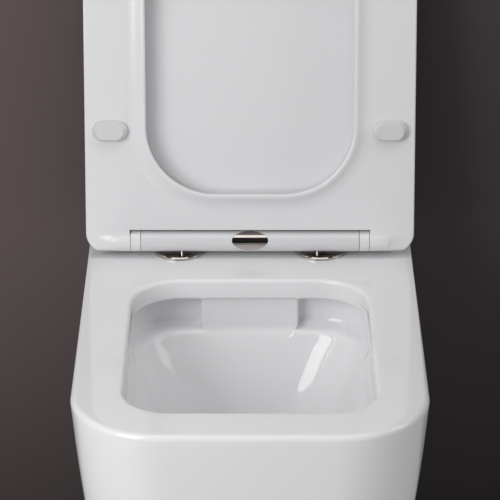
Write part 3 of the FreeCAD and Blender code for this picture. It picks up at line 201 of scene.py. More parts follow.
@dataclass(frozen=True)
class Finish:
    """A finish made of one base colour, an uneven gloss and a slight relief.

    Attributes:
        name: Name of the material.
        colour: Linear base colour.
        shade: Linear colour that the base drifts to over the surface.
        metallic: 1 for bare metal, 0 for the rest.
        roughness: Lowest and highest roughness over the surface.
        coat: Weight of the clear layer on top.
        coat_roughness: Roughness of that layer.
        wave: Scale of the slow unevenness.
        grain: Scale of the fine grain.
        relief: Height of the relief, in metres.
    """

    name: str
    colour: Colour
    shade: Colour
    metallic: float = 0.0
    roughness: Pair = (0.2, 0.3)
    coat: float = 0.0
    coat_roughness: float = 0.03
    wave: float = 12.0
    grain: float = 600.0
    relief: float = 0.0

    def make(self, wave_group: NodeTree) -> Material:
        """Builds the material.

        Args:
            wave_group: The shared group of slow and fine unevenness.

        Returns:
            The material.
        """
        material, nodes, shader = new_material(
            self.name,
            {"Metallic": self.metallic, "Coat Weight": self.coat, "Coat Roughness": self.coat_roughness},
        )
        scales = {"Scale": self.wave, "Fine Scale": self.grain}
        wave = nodes.add("ShaderNodeGroup", scales, node_tree=wave_group)
        gloss = nodes.add("ShaderNodeMapRange", dict(zip(FROM + TO, MASK_RANGE + self.roughness)))
        tint = nodes.mix(self.colour, self.shade)
        nodes.join(
            (wave, "Mask", gloss, "Value"),
            (wave, "Mask", tint, "Factor"),
            (gloss, "Result", shader, "Roughness"),
            (tint, "Result", shader, "Base Color"),
        )
        if self.relief:
            bump = nodes.add("ShaderNodeBump", {"Distance": self.relief})
            nodes.join((wave, "Height", bump, "Height"), (bump, "Normal", shader, "Normal"))
        return material


GLAZE = Finish("clear_glaze_on_china", grey(238, -0.014), grey(235, -0.014), roughness=(0.05, 0.08), wave=6)
SEAT_WHITE = Finish(
    "gloss_white_seat", grey(230, -0.018), grey(227, -0.018), roughness=(0.12, 0.18), wave=9, grain=900
)
# The hinge bar wears the seat's white made darker: painted shade on the bar.
BAR_WHITE_PAINTED_SHADE = Finish(
    "gloss_white_bar_painted_shade", grey(219, -0.018), grey(216, -0.018), roughness=(0.16, 0.22), wave=9, grain=900
)
BUMPER_WHITE = Finish("satin_white_bumper", grey(216), grey(211), roughness=(0.35, 0.45), wave=30)
CHROME = Finish("polished_chrome", grey(226), grey(222), metallic=1.0, roughness=(0.04, 0.08))
# Polished metal made darker and warmer than the pins' chrome: painted reflection of the dark wall and the
# shaded underside of the bar that the plates and the button mirror.
CHROME_PAINTED_DARK_REFLECTION = Finish(
    "warm_chrome_painted_dark_reflection",
    (0.56, 0.51, 0.48),
    (0.50, 0.455, 0.43),
    metallic=1.0,
    roughness=(0.08, 0.14),
    wave=40,
)
BLACK_PLASTIC = Finish("dark_moulded_plastic", grey(60), grey(54), roughness=(0.4, 0.5))
BRIGHT_STEEL = Finish("bright_steel", grey(200), grey(190), metallic=1.0, roughness=(0.22, 0.32))
ZINC = Finish("dull_zinc", grey(180), grey(165), metallic=1.0, roughness=(0.35, 0.5), wave=60)
GREY_RUBBER = Finish("grey_rubber", grey(70), grey(64), roughness=(0.6, 0.7))
BRASS = Finish("turned_brass", (0.62, 0.42, 0.14), (0.55, 0.36, 0.12), metallic=1.0, roughness=(0.2, 0.3))
WHITE_FITTING = Finish("satin_white_fitting", grey(226), grey(222), roughness=(0.3, 0.4))

NODES_OF_FINISH = (
    (GLAZE, ("pan", "bowl", "trapway", "flush_inlet")),
    (SEAT_WHITE, ("seat_ring", "lid")),
    (BAR_WHITE_PAINTED_SHADE, ("hinge_bar",)),
    (BUMPER_WHITE, ("seat_bumpers", "lid_bumpers")),
    (CHROME_PAINTED_DARK_REFLECTION, ("release_button", "post_plate_left", "post_plate_right")),
    (CHROME, ("post_pin_left", "post_pin_right")),
    (BLACK_PLASTIC, ("damper_left", "damper_right", "release_slider_left", "release_slider_right")),
    (BRIGHT_STEEL, ("hinge_shaft_left", "hinge_shaft_right", "slider_spring_left", "slider_spring_right")),
    (BRIGHT_STEEL, ("post_bolts", "wall_washers", "wall_nuts", "side_screws")),
    (ZINC, ("wall_bracket_left", "wall_bracket_right")),
    (GREY_RUBBER, ("post_gaskets", "expansion_plugs")),
    (BRASS, ("plug_nuts",)),
    (WHITE_FITTING, ("side_bushes", "side_caps")),
)


# Camera, lights and room


@dataclass
class Viewpoint:
    """Camera at the photograph's viewing angle."""

    aim: Vector = field(default_factory=lambda: Vector((0.0, -0.103, 0.080)))
    distance: float = 3.170
    pitch: float = math.radians(25)
    sensor_mm: float = 36.0
    lens_mm: float = 207.6
    farthest: float = 50.0

    def build(self) -> None:
        """Makes the camera and gives it to the scene."""
        data = bpy.data.cameras.new("view")
        data.sensor_width = self.sensor_mm
        data.lens = self.lens_mm
        data.clip_end = self.farthest
        camera = put("view", data)
        back = Vector((0, -math.cos(self.pitch), math.sin(self.pitch)))
        camera.location = self.aim + back * self.distance
        camera.rotation_euler = (math.pi / 2 - self.pitch, 0, 0)
        bpy.context.scene.camera = camera


@dataclass(frozen=True)
class Softbox:
    """A rectangular area light that faces a point."""

    name: str
    place: Triple
    size: Pair
    watts: float
    target: Triple = (0.0, -0.25, 0.05)

    def build(self) -> None:
        """Makes the light and hangs it where it belongs."""
        data = bpy.data.lights.new(self.name, "AREA")
        data.shape = "RECTANGLE"
        data.size, data.size_y = self.size
        data.energy = self.watts
        lamp = put(self.name, data)
        lamp.location = self.place
        direction = Vector(self.target) - Vector(self.place)
        lamp.rotation_euler = direction.to_track_quat("-Z", "Y").to_euler()


@dataclass
class Room:
    """Pale floor, dark wall with painted light and shade, even surrounding light and the softboxes.

    Attributes:
        floor_level: Height of the floor.
        half_span: Half the width of the floor and of the wall.
        wall_height: Height of the wall.
        wall_gap: Distance of the wall from the pan's back.
        floor_colour: Colour of the floor.
        floor_roughness: Its roughness.
        wall_painted_light_colours: Colours of the wall on its left, in painted light, and on its right, in
            painted shade.
        wall_roughness: Roughness of the wall.
        painted_light_fade: X where the painted light on the left starts to turn into the painted shade on
            the right, and where it ends.
        wall_shade: Heights where the wall's lower shade ends and where the wall is fully lit.
        wall_foot: How much light is left at the foot of the shade, as a share.
        ambient: Strength of the surrounding light.
        ambient_colour: Colour of the surrounding light.
        mirrored_colour: Colour that reflections show instead.
        lamps: The softboxes.
    """

    floor_level: float = -0.320
    half_span: float = 3.0
    wall_height: float = 3.0
    wall_gap: float = 0.0005
    floor_colour: Colour = grey(205)
    floor_roughness: float = 0.6
    wall_painted_light_colours: tuple[Colour, Colour] = ((0.105, 0.0755, 0.078), (0.0456, 0.035, 0.038))
    wall_roughness: float = 0.7
    painted_light_fade: Pair = (-0.3, 0.3)
    wall_shade: Pair = (-0.28, 0.06)
    wall_foot: float = 0.45
    ambient: float = 0.34
    ambient_colour: Colour = grey(235)
    mirrored_colour: Colour = grey(70)
    lamps: tuple[Softbox, ...] = (
        Softbox("left_softbox", (-0.95, -1.45, 0.80), (0.8, 1.2), 14),
        Softbox("left_strip", (-1.42, -0.98, 0.85), (0.025, 1.5), 1.3),
        Softbox("right_softbox", (2.1, -0.5, 1.4), (0.8, 1.6), 9),
        Softbox("overhead_softbox", (0.0, -0.9, 2.4), (2.2, 1.2), 13.5),
        Softbox("low_front_fill", (-0.1, -1.6, -0.16), (0.7, 0.25), 0.7, (0.0, -0.45, -0.05)),
    )

    def build(self) -> None:
        """Makes the floor, the wall, the world and the lamps."""
        self._world()
        self._floor()
        self._wall()
        for lamp in self.lamps:
            lamp.build()

    def _world(self) -> None:
        """Sets the even light from all round, which shows darker in reflections."""
        world = bpy.data.worlds.new("surrounding_light")
        world.use_nodes = True
        shade = world.node_tree.nodes["Background"]
        set_inputs(shade, {"Strength": self.ambient})
        nodes = Nodes(world.node_tree)
        ray = nodes.add("ShaderNodeLightPath")
        seen = nodes.mix(self.ambient_colour, self.mirrored_colour)
        nodes.join((ray, "Is Glossy Ray", seen, "Factor"), (seen, "Result", shade, "Color"))
        bpy.context.scene.world = world

    def _plane(self, name: str, low: Triple, high: Triple, material: Material) -> None:
        """Makes a plane that counts as part of the room.

        Args:
            name: Name of the plane.
            low: The left end of its near or lower edge.
            high: The right end of its far or upper edge.
            material: Its finish.
        """
        mesh = bpy.data.meshes.new(name)
        corners = [low, (high[0], *low[1:]), high, (low[0], *high[1:])]
        mesh.from_pydata(corners, [], [(0, 1, 2, 3)])
        mesh.materials.append(material)
        put(name, mesh)

    def _floor(self) -> None:
        """Lays the pale floor."""
        values = {"Base Color": (*self.floor_colour, 1), "Roughness": self.floor_roughness}
        material = new_material("pale_floor", values)[0]
        span, level = self.half_span, self.floor_level
        self._plane("floor", (-span, -2 * span, level), (span, span, level), material)

    def _wall(self) -> None:
        """Stands the dark wall behind the pan, seen only from the front, its colour painted with light that
        falls off to the right and with shade towards its foot.
        """
        material, nodes, shader = new_material("dark_plaster_painted_light", {"Roughness": self.wall_roughness})
        output = material.node_tree.nodes["Material Output"]
        place = nodes.add("ShaderNodeTexCoord")
        apart = nodes.add("ShaderNodeSeparateXYZ")
        # Painted light and shade: the base colour goes from lit on the left to shaded on the right, and
        # darkens towards the wall's foot.
        painted_falloff_share = nodes.add("ShaderNodeMapRange", dict(zip(FROM, self.painted_light_fade)))
        painted_foot_shade = nodes.add("ShaderNodeMapRange", dict(zip(FROM + TO, self.wall_shade + (self.wall_foot, 1))))
        painted_shade_multiply = nodes.add("ShaderNodeMix", {"Factor": 1.0}, data_type="RGBA", blend_type="MULTIPLY")
        painted_light_blend = nodes.mix(*self.wall_painted_light_colours)
        clear = nodes.add("ShaderNodeBsdfTransparent")
        side = nodes.add("ShaderNodeNewGeometry")
        mix = nodes.add("ShaderNodeMixShader")
        nodes.join(
            (place, "Object", apart, "Vector"),
            (apart, "X", painted_falloff_share, "Value"),
            (painted_falloff_share, "Result", painted_light_blend, "Factor"),
            (apart, "Z", painted_foot_shade, "Value"),
            (painted_light_blend, "Result", painted_shade_multiply, "A"),
            (painted_foot_shade, "Result", painted_shade_multiply, "B"),
            (painted_shade_multiply, "Result", shader, "Base Color"),
            (side, "Backfacing", mix, "Fac"),
            (shader, "BSDF", mix, 1),
            (clear, "BSDF", mix, 2),
            (mix, "Shader", output, "Surface"),
        )
        span, gap, low = self.half_span, self.wall_gap, self.floor_level
        self._plane("backdrop_wall", (-span, gap, low), (span, gap, low + self.wall_height), material)


# Fine surfaces


class Stretch(Enum):
    """Stretches of a rounded outline, from the middle of its back to the middle of its front."""

    BACK = "back"
    BACK_CORNER = "back corner"
    SIDE = "side"
    FRONT_CORNER = "front corner"
    FRONT = "front"


@dataclass(frozen=True)
class Spot:
    """A place on an outline: a stretch and how far along it, from 0 to 1."""

    stretch: Stretch
    along: float


@dataclass(frozen=True)
class Outline:
    """Rounded outline in plan, in millimetres.

    Attributes:
        half: Half its width.
        back: Distance of its back from the wall.
        front: Distance of its front from the wall.
        back_corner: Radius of the corners at its back.
        front_corner: Radius of the corners at its front.
        widening: How much wider half of its front is than half of its back.
    """

    half: float
    back: float
    front: float
    back_corner: float
    front_corner: float
    widening: float = 0.0

    def point(self, spot: Spot) -> Point:
        """Finds a point of the right half.

        Args:
            spot: Where on the outline.

        Returns:
            X and Y in millimetres.
        """
        turn = spot.along * math.pi / 2
        if spot.stretch is Stretch.BACK:
            x, y = spot.along * (self.half - self.back_corner), -self.back
        elif spot.stretch is Stretch.BACK_CORNER:
            x = self.half - self.back_corner * (1 - math.sin(turn))
            y = -self.back - self.back_corner * (1 - math.cos(turn))
        elif spot.stretch is Stretch.SIDE:
            start, end = -self.back - self.back_corner, -self.front + self.front_corner
            x, y = self.half, start + (end - start) * spot.along
        elif spot.stretch is Stretch.FRONT_CORNER:
            x = self.half - self.front_corner * (1 - math.cos(turn))
            y = -self.front + self.front_corner * (1 - math.sin(turn))
        else:
            x, y = (1 - spot.along) * (self.half - self.front_corner), -self.front
        share = (-y - self.back) / (self.front - self.back)
        return np.array((x * (1 + self.widening * share / self.half), y))

    def swollen(self, wall: float) -> "Outline":
        """Returns the outline moved outwards by a wall."""
        corners = self.back_corner + wall, self.front_corner + wall
        return Outline(self.half + wall, self.back - wall, self.front + wall, *corners, self.widening)


def places_round(stretches: list[Stretch], counts: tuple[int, ...]) -> list[Spot]:
    """Spaces places evenly along stretches that end at the middle of the front.

    Args:
        stretches: The stretches.
        counts: Into how many steps each is divided.

    Returns:
        The places, with the end of the last stretch.
    """
    places = []
    for stretch, count in zip(stretches, counts):
        places += [Spot(stretch, step / count) for step in range(count)]
    return places + [Spot(Stretch.FRONT, 1.0)]


def between(start: Point, end: Point, leave: Point, arrive: Point, t: float) -> Point:
    """Reads a cubic between two points.

    Args:
        start: Where it starts.
        end: Where it ends.
        leave: Direction and speed at its start.
        arrive: Direction and speed at its end.
        t: How far along it, from 0 to 1.

    Returns:
        The point there.
    """
    return (
        start * (2 * t**3 - 3 * t**2 + 1)
        + end * (3 * t**2 - 2 * t**3)
        + leave * (t**3 - 2 * t**2 + t)
        + arrive * (t**3 - t**2)
    )


def smooth_steps(keys: list[float], rows: list[Point], at: float) -> Point:
    """Reads a smooth curve through rows of values.

    Args:
        keys: Rising places of the rows.
        rows: Values at those places.
        at: Place to read.

    Returns:
        The values there, by a cubic through the rows.
    """
    slopes = []
    for index, row in enumerate(rows):
        low, high = max(index - 1, 0), min(index + 1, len(rows) - 1)
        slopes.append((rows[high] - rows[low]) / (keys[high] - keys[low]))
    index = min(max(int(np.searchsorted(keys, at)) - 1, 0), len(keys) - 2)
    span = keys[index + 1] - keys[index]
    t = (at - keys[index]) / span
    return between(rows[index], rows[index + 1], slopes[index] * span, slopes[index + 1] * span, t)


SHORTEST_REACH = 0.35
LONGEST_SHARE = 0.48


def rounded_corner(before: Point, corner: Point, after: Point, radius: float, count: int) -> list[Point]:
    """Rounds one corner of a path.

    Args:
        before: Point of the path before the corner.
        corner: The corner.
        after: Point of the path after it.
        radius: Radius of the arc, cut down where the runs are too short for it.
        count: How many points the arc has.

    Returns:
        Points of the arc.
    """
    into, out = before - corner, after - corner
    length_in, length_out = np.linalg.norm(into), np.linalg.norm(out)
    into, out = into / max(length_in, TINY), out / max(length_out, TINY)
    opening = math.acos(float(np.clip(into @ out, -1, 1)))
    wanted = max(radius / max(math.tan(opening / 2), NEAR_ZERO), SHORTEST_REACH * radius)
    reach = min(wanted, LONGEST_SHARE * length_in, LONGEST_SHARE * length_out)
    start, end = corner + into * reach, corner + out * reach
    weight = math.sin(opening / 2)
    arc = []
    for step in range(count):
        t = step / (count - 1)
        shares = ((1 - t) ** 2, 2 * weight * t * (1 - t), t**2)
        arc.append((shares[0] * start + shares[1] * corner + shares[2] * end) / sum(shares))
    return arc


def mirrored(half: list[list[Point]]) -> list[list[Point]]:
    """Returns the columns of the right half and, in turn, those of the left."""
    return half + [[point * MIRROR for point in column] for column in half[-2:0:-1]]


def ring_mesh(name: str, rows: list[list[Point]], left_out: Callable[[int, int], bool]) -> Mesh:
    """Skins rings of points.

    Args:
        name: Name of the mesh.
        rows: Rings of points in millimetres, each as long as the others.
        left_out: Says for a row and a column whether the face there is left out.

    Returns:
        The mesh, in metres.
    """
    width = len(rows[0])
    points = [tuple(point * MM) for row in rows for point in row]
    faces = []
    for row in range(len(rows) - 1):
        for column in range(width):
            if left_out(row, column):
                continue
            right = (column + 1) % width
            below, above = row * width, (row + 1) * width
            faces.append((below + column, above + column, above + right, below + right))
    mesh = bpy.data.meshes.new(name)
    mesh.from_pydata(points, [], faces)
    mesh.shade_smooth()
    return mesh


def piece_of(name: str, mesh: Mesh, material: Material) -> Object:
    """Makes a piece of a mesh and its finish.

    Args:
        name: Name of the piece.
        mesh: Its mesh.
        material: Its finish.

    Returns:
        The piece, in the scene.
    """
    mesh.materials.append(material)
    LOG.info("%s has %d faces", name, len(mesh.polygons))
    return put(name, mesh)


def merged_copy(node: str) -> bmesh.types.BMesh:
    """Copies a node's mesh from the frame and joins its loose triangles.

    Args:
        node: Name of the node.

    Returns:
        The copy.
    """
    copy = bmesh.new()
    copy.from_mesh(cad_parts[node].data)
    bmesh.ops.remove_doubles(copy, verts=copy.verts, dist=MERGE_DISTANCE)
    copy.normal_update()
    return copy


def smooth_mesh(name: str, made: bmesh.types.BMesh, sharp_from: float) -> Mesh:
    """Turns edited geometry into a mesh and frees it.

    Args:
        name: Name of the mesh.
        made: The geometry.
        sharp_from: Angle from which an edge stays sharp.

    Returns:
        The mesh, shaded smooth.
    """
    mesh = bpy.data.meshes.new(name)
    made.to_mesh(mesh)
    made.free()
    mesh.shade_smooth()
    mesh.set_sharp_from_angle(angle=sharp_from)
    return mesh


@dataclass
class Bowl:
    """Glazed inside of the bowl, from the deck round its mouth down into the trapway.

    The mouth is a straight wall of lip_depth below the rim. Behind it the pockets are undercut on both
    sides of the middle of the back, from pocket_end to where side_fade lets them end, and smooth_drop and
    smooth_rise draw the wall straight where there is no pocket. Below the ledge the stations give the
    outline at depths below the rim, down to funnel_depth.
    """

    rim: float = RIM
    deck_margin: float = 12.0
    lip_depth: float = 23.0
    mouth_radius: float = 4.0
    lip_radius: float = 3.0
    pocket_end: float = 52.5
    end_run: Pair = (48.0, 56.5)
    end_rounding: Pair = (2.5, 5.0)
    pocket_height: float = 38.0
    pocket_end_radius: float = 8.0
    pocket_back: float = 158.0
    pocket_start: float = 75.0
    pocket_corner: float = 57.0
    corner_fade: float = 0.6
    side_opening: float = 0.5
    side_fade: float = 30.0
    pocket_roof_radius: float = 6.0
    pocket_floor_radius: float = 10.0
    ledge_radius: float = 13.0
    smooth_radius: float = 60.0
    smooth_drop: float = 8.0
    smooth_rise: float = 20.0
    ledge_rise: float = 4.0
    ring_step: float = 4.0
    arc_steps: tuple[int, ...] = (7, 6, 7, 9, 9)
    end_steps: int = 9
    middle_places: tuple[float, ...] = (0, 12, 24, 34, 42)
    end_places: int = 17
    pocket_places: tuple[float, ...] = (57, 58, 59.5, 61, 63, 66, 69)
    round_places: tuple[int, ...] = (22, 34, 18, 12)
    mouth: Outline = Outline(125.5, 180, 479, 55, 47, 1.5)
    throat: Outline = Outline(127, 174, 480.5, 54, 48)
    stations: tuple[tuple[float, Outline], ...] = (
        (66, Outline(120, 178, 475, 56, 50)),
        (95, Outline(106, 191, 463, 58, 54)),
        (145, Outline(84, 210, 433, 54, 52)),
        (205, Outline(61, 226, 388, 44, 44)),
        (265, Outline(46, 234, 346, 36, 36)),
    )
    funnel_depth: float = 238.0
    trap_entry: Pair = (-256.0, -201.5)
    trap_radius: float = 25.8
    trap_bend: float = 62.0
    trap_turn: float = math.radians(30)
    trap_steps: tuple[int, ...] = (12, 24, 36, 48)
    funnel_steps: int = 15
    funnel_pull: float = 0.9

    def spots(self) -> list[Spot]:
        """Chooses the places round half an outline, closest by the inner ends of the pockets.

        Returns:
            The places, from the middle of the back to the middle of the front.
        """
        straight = self.throat.half - self.throat.back_corner
        close = [*self.middle_places, *np.linspace(*self.end_run, self.end_places), *self.pocket_places]
        places = [Spot(Stretch.BACK, x / straight) for x in close]
        return places + places_round(list(Stretch)[1:], self.round_places)

    def _pocket(self, spot: Spot) -> tuple[Point, float]:
        """Finds the back of the pocket at a place.

        Args:
            spot: Where on the outline.

        Returns:
            X and Y of the pocket's wall, and how far the pocket is open there, from 0 to 1.
        """
        wall = self.throat.point(spot)
        straight = self.throat.half - self.throat.back_corner
        if spot.stretch is Stretch.BACK:
            x = spot.along * straight
            begin, end = self.end_run
            if begin < x < end:
                x, y = self._end_path((x - begin) / (end - begin), wall[1])
            else:
                y = -self.pocket_back if x >= end else wall[1]
            return np.array((x, y)), (y - wall[1]) / (-self.pocket_back - wall[1])
        if spot.stretch is Stretch.BACK_CORNER:
            turn = spot.along * math.pi / 2
            start = np.array((self.pocket_start, -self.pocket_back))
            shift = (1 - spot.along) * (straight - self.pocket_start)
            x = start[0] + shift + self.pocket_corner * math.sin(turn)
            y = start[1] - self.pocket_corner * (1 - math.cos(turn))
            faded = self._eased((spot.along - self.corner_fade) / (1 - self.corner_fade))
            return np.array((x, y)), 1 - (1 - self.side_opening) * faded
        if spot.stretch is Stretch.SIDE:
            widest = self.pocket_start + self.pocket_corner
            begin = self.throat.point(Spot(Stretch.SIDE, 0))[1]
            faded = self._eased((begin - wall[1]) / self.side_fade)
            return np.array((widest, wall[1])), self.side_opening * (1 - faded)
        return wall, 0.0

    @staticmethod
    def _eased(share: float) -> float:
        """Returns a share that starts and ends gently."""
        share = min(max(share, 0.0), 1.0)
        return share * share * (3 - 2 * share)

    def _end_path(self, share: float, wall: float) -> Point:
        """Follows the rounded inner end of a pocket in plan.

        Args:
            share: How far along the path, from 0 on the bowl's back wall to 1 in the pocket.
            wall: Y of the bowl's back wall.

        Returns:
            X and Y in millimetres.
        """
        begin, end = self.end_run
        deep = -self.pocket_back
        corners = ((begin, wall), (self.pocket_end, wall), (self.pocket_end, deep), (end, deep))
        points = [np.array(corner) for corner in corners]
        path = [points[0]]
        for index, radius in enumerate(self.end_rounding, start=1):
            path += rounded_corner(*points[index - 1 : index + 2], radius, self.end_steps)
        path.append(points[3])
        lengths = np.cumsum([0.0] + [float(np.linalg.norm(b - a)) for a, b in zip(path, path[1:])])
        at = share * lengths[-1]
        return np.array([np.interp(at, lengths, [point[axis] for point in path]) for axis in (0, 1)])

    def section(self, spot: Spot) -> list[Point]:
        """Draws the wall's section at a place, from the mouth's edge to the sump's floor.

        Args:
            spot: Where on the outline.

        Returns:
            Points of the section, as many at every place.
        """
        lip = self.rim - self.lip_depth
        mouth = self.mouth.point(spot)
        pocket, opened = self._pocket(spot)
        at_back = spot.stretch is Stretch.BACK
        undercut = 1.0 if at_back else opened
        pocket = mouth + (pocket - mouth) * undercut
        ledge_depth, ledge_line = self.stations[0]
        past = max(pocket[0] - self.pocket_end, 0) if at_back else self.pocket_end_radius
        short = max(self.pocket_end_radius - past, 0)
        inset = self.pocket_end_radius - math.sqrt(self.pocket_end_radius**2 - short**2)
        roof = lip - inset * opened - self.smooth_drop * (1 - undercut)
        floor = lip - self.pocket_height + inset * opened + self.smooth_rise * (1 - undercut)
        ledge = ledge_line.point(spot)
        keys = [depth for depth, _ in self.stations]
        rows = [np.array((*line.point(spot), self.rim - depth)) for depth, line in self.stations]
        first = keys[0] + 2 * self.ring_step
        path = [
            np.array((*self.mouth.swollen(self.deck_margin).point(spot), self.rim)),
            np.array((*mouth, self.rim)),
            np.array((*mouth, lip)),
            np.array((*pocket, roof)),
            np.array((*pocket, floor)),
            np.array((*ledge, self.rim - ledge_depth + self.ledge_rise * opened)),
            smooth_steps(keys, rows, first),
        ]
        radii = (
            self.mouth_radius,
            self.lip_radius,
            self.pocket_roof_radius,
            self.pocket_floor_radius,
            self.smooth_radius + (self.ledge_radius - self.smooth_radius) * opened,
        )
        section = [path[0]]
        for index, (radius, count) in enumerate(zip(radii, self.arc_steps), start=1):
            section += rounded_corner(*path[index - 1 : index + 2], radius, count)
        depths = np.arange(first, self.funnel_depth, self.ring_step)
        section += [smooth_steps(keys, rows, depth) for depth in depths]
        return section + self._funnel(section[-2], section[-1], smooth_steps(keys, rows, depths[-1]))

    def _trap_ring(self, turn: float, around: Point) -> Point:
        """Finds a point of the trapway's bore.

        Args:
            turn: How far the bore has turned upwards.
            around: Direction from the middle of the bowl's ring, as cosine and sine.

        Returns:
            The point in millimetres.
        """
        along = self.trap_entry[0] + self.trap_bend * math.sin(turn)
        level = self.trap_entry[1] + self.trap_bend * (1 - math.cos(turn))
        across, up = around * self.trap_radius
        return np.array((across, along - up * math.sin(turn), level + up * math.cos(turn)))

    def _funnel(self, above: Point, start: Point, ring: Point) -> list[Point]:
        """Sweeps the foot of the bowl round into the trapway.

        Args:
            above: Point of the section just above the funnel.
            start: Point where the funnel starts.
            ring: The same point, as the bowl's stations give it.

        Returns:
            Points of the section down to the trapway's bore.
        """
        keys = [depth for depth, _ in self.stations]
        ends = [np.array((line.half, line.back, line.front)) for _, line in self.stations]
        half, back, front = smooth_steps(keys, ends, self.rim - ring[2])
        spread = np.array((ring[0] / half, (ring[1] + (back + front) / 2) / ((front - back) / 2)))
        around = spread / max(float(np.linalg.norm(spread)), NEAR_ZERO)
        end = self._trap_ring(self.trap_turn, around)
        run = float(np.linalg.norm(end - start))
        down = (start - above) / max(float(np.linalg.norm(start - above)), NEAR_ZERO)
        leave = down * run * self.funnel_pull
        arrive = np.array((0.0, math.cos(self.trap_turn), math.sin(self.trap_turn))) * run * self.funnel_pull
        path = [between(start, end, leave, arrive, t) for t in np.linspace(0, 1, self.funnel_steps)[1:]]
        turns = [self.trap_turn + math.radians(step) for step in self.trap_steps]
        return path + [self._trap_ring(turn, around) for turn in turns]


@dataclass
class Skirt:
    """Outer form of the pan: drafted flanks that curve in towards the base, and the deck on top."""

    rim: float = RIM
    height: float = 345.0
    length: float = 530.0
    half: float = 179.5
    back_narrowing: float = 2.5
    front_corner: float = 90.0
    side_taper: float = 0.08
    front_taper: float = 0.06
    base_half: float = 112.0
    base_reach: float = 300.0
    side_belly: float = 3.0
    front_belly: float = 4.0
    rim_radius: float = 6.0
    base_radius: float = 9.0
    row_step: float = 12.0
    deck_rows: int = 6
    wall_corner: float = 0.01
    foot_width: float = 30.0
    base_steps: int = 8
    rim_steps: int = 9

    def outline(self, depth: float) -> Outline:
        """Draws the outer form in plan.

        Args:
            depth: Depth below the rim.

        Returns:
            The outline there.
        """
        share = depth / self.height
        spread = self.half - self.side_taper * self.height - self.base_half
        half = self.half - self.side_taper * depth - spread * share**self.side_belly
        stretch = self.length - self.front_taper * self.height - self.base_reach
        reach = self.length - self.front_taper * depth - stretch * share**self.front_belly
        narrow = self.back_narrowing
        return Outline(half - narrow, 0, reach, self.wall_corner, self.front_corner, narrow)

    def section(self, spot: Spot, deck_end: Point) -> list[Point]:
        """Draws the outer section at a place, from the underside up the flank and over the deck.

        Args:
            spot: Where on the outline.
            deck_end: Where the deck meets the bowl's own section.

        Returns:
            Points of the section, as many at every place.
        """
        at_wall = spot.stretch in (Stretch.BACK, Stretch.BACK_CORNER)
        depths = np.arange(self.height - 2 * self.row_step, self.row_step, -self.row_step)
        flank = [np.array((*self.outline(depth).point(spot), self.rim - depth)) for depth in depths]
        foot, level = self.outline(self.height), self.rim - self.height
        base = np.array((*foot.point(spot), level))
        inner = np.array((*foot.swollen(-self.foot_width).point(spot), level))
        edge = np.array((*self.outline(0).point(spot), self.rim))
        base_radius, rim_radius = (0, 0) if at_wall else (self.base_radius, self.rim_radius)
        section = rounded_corner(inner, base, flank[0], base_radius, self.base_steps)
        section += flank
        section += rounded_corner(flank[-1], edge, deck_end, rim_radius, self.rim_steps)
        start = section[-1]
        section += [start + (deck_end - start) * step / self.deck_rows for step in range(1, self.deck_rows)]
        return section


@dataclass
class SeatRing:
    """Seat ring: the raised, rounded border of its opening on what the frame holds of the rest.

    Attributes:
        hinge: Y and Z of the hinge axis.
        opening_angle: How far the seat stands open at rest.
        underside: Height of the closed seat's flat underside over the hinge axis.
        bead_margin: How far below the underside a face has to lie to belong to the bead.
        hinge_zone: Distance from the axis within which the knuckles keep their faces.
        round_places: Into how many steps each stretch of the opening is divided.
        sharp_from: Angle from which an edge stays sharp.
        opening: Outline of the closed seat's opening, measured from the hinge axis.
        profile: Distances of the border's points from the opening's outline, and their heights.
    """

    hinge: Pair = HINGE
    opening_angle: float = math.radians(100)
    underside: float = -9.0
    bead_margin: float = 0.05
    hinge_zone: float = 30.0
    round_places: tuple[int, ...] = (8, 30, 20, 30, 8)
    sharp_from: float = math.radians(35)
    opening: Outline = Outline(115, 52, 347, 78, 74)
    profile: tuple[tuple[float, ...], tuple[float, ...]] = (
        (0.05, -0.9, -2.3, -3.0, -2.9, -2.2, -1.0, 0.6, 2.2, 4.0, 6.0, 8.5, 11.0, 14.0, 17.0),
        (1.0, -4.5, -9.5, -12, -13, -13.8, -14.1, -13.9, -13.2, -12.1, -11.1, -10.2, -9.6, -9.2, -8.95),
    )

    def _placed(self, point: Point) -> Point:
        """Turns a point of the closed seat to where it stands when raised.

        Args:
            point: The point, measured from the hinge axis.

        Returns:
            The point of the raised seat.
        """
        x, y, z = point
        cos, sin = math.cos(self.opening_angle), math.sin(self.opening_angle)
        return np.array((x, self.hinge[0] + y * cos + z * sin, self.hinge[1] - y * sin + z * cos))

    def _border(self) -> Mesh:
        """Skins the border along the opening.

        Returns:
            The mesh of the raised seat's border.
        """
        lines = [(self.opening.swollen(swell), height) for swell, height in zip(*self.profile)]
        right = []
        for spot in places_round(list(Stretch), self.round_places):
            right.append([np.array((*line.point(spot), height)) for line, height in lines])
        rows = [[self._placed(point) for point in row] for row in zip(*mirrored(right))]
        return ring_mesh("seat_border", rows, lambda row, column: False)

    def _is_bead(self, centre: Vector) -> bool:
        """Finds the faces that the border stands for.

        Args:
            centre: Middle of a face of the frame's ring.

        Returns:
            Whether it is part of the bead below the flat underside.
        """
        y, z = centre.y / MM - self.hinge[0], centre.z / MM - self.hinge[1]
        cos, sin = math.cos(self.opening_angle), math.sin(self.opening_angle)
        below = y * sin + z * cos < self.underside - self.bead_margin
        return below and y * cos - z * sin < -self.hinge_zone

    def build(self, material: Material) -> Object:
        """Joins the border with the frame's ring.

        Args:
            material: The white of the seat.

        Returns:
            The finished piece, which rides with the seat.
        """
        joined = merged_copy("seat_ring")
        bead = [face for face in joined.faces if self._is_bead(face.calc_center_median())]
        bmesh.ops.delete(joined, geom=bead, context="FACES")
        joined.from_mesh(self._border())
        name = "seat_ring_with_border"
        piece = piece_of(name, smooth_mesh(name, joined, self.sharp_from), material)
        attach(piece, "seat")
        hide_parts("seat_ring")
        return piece


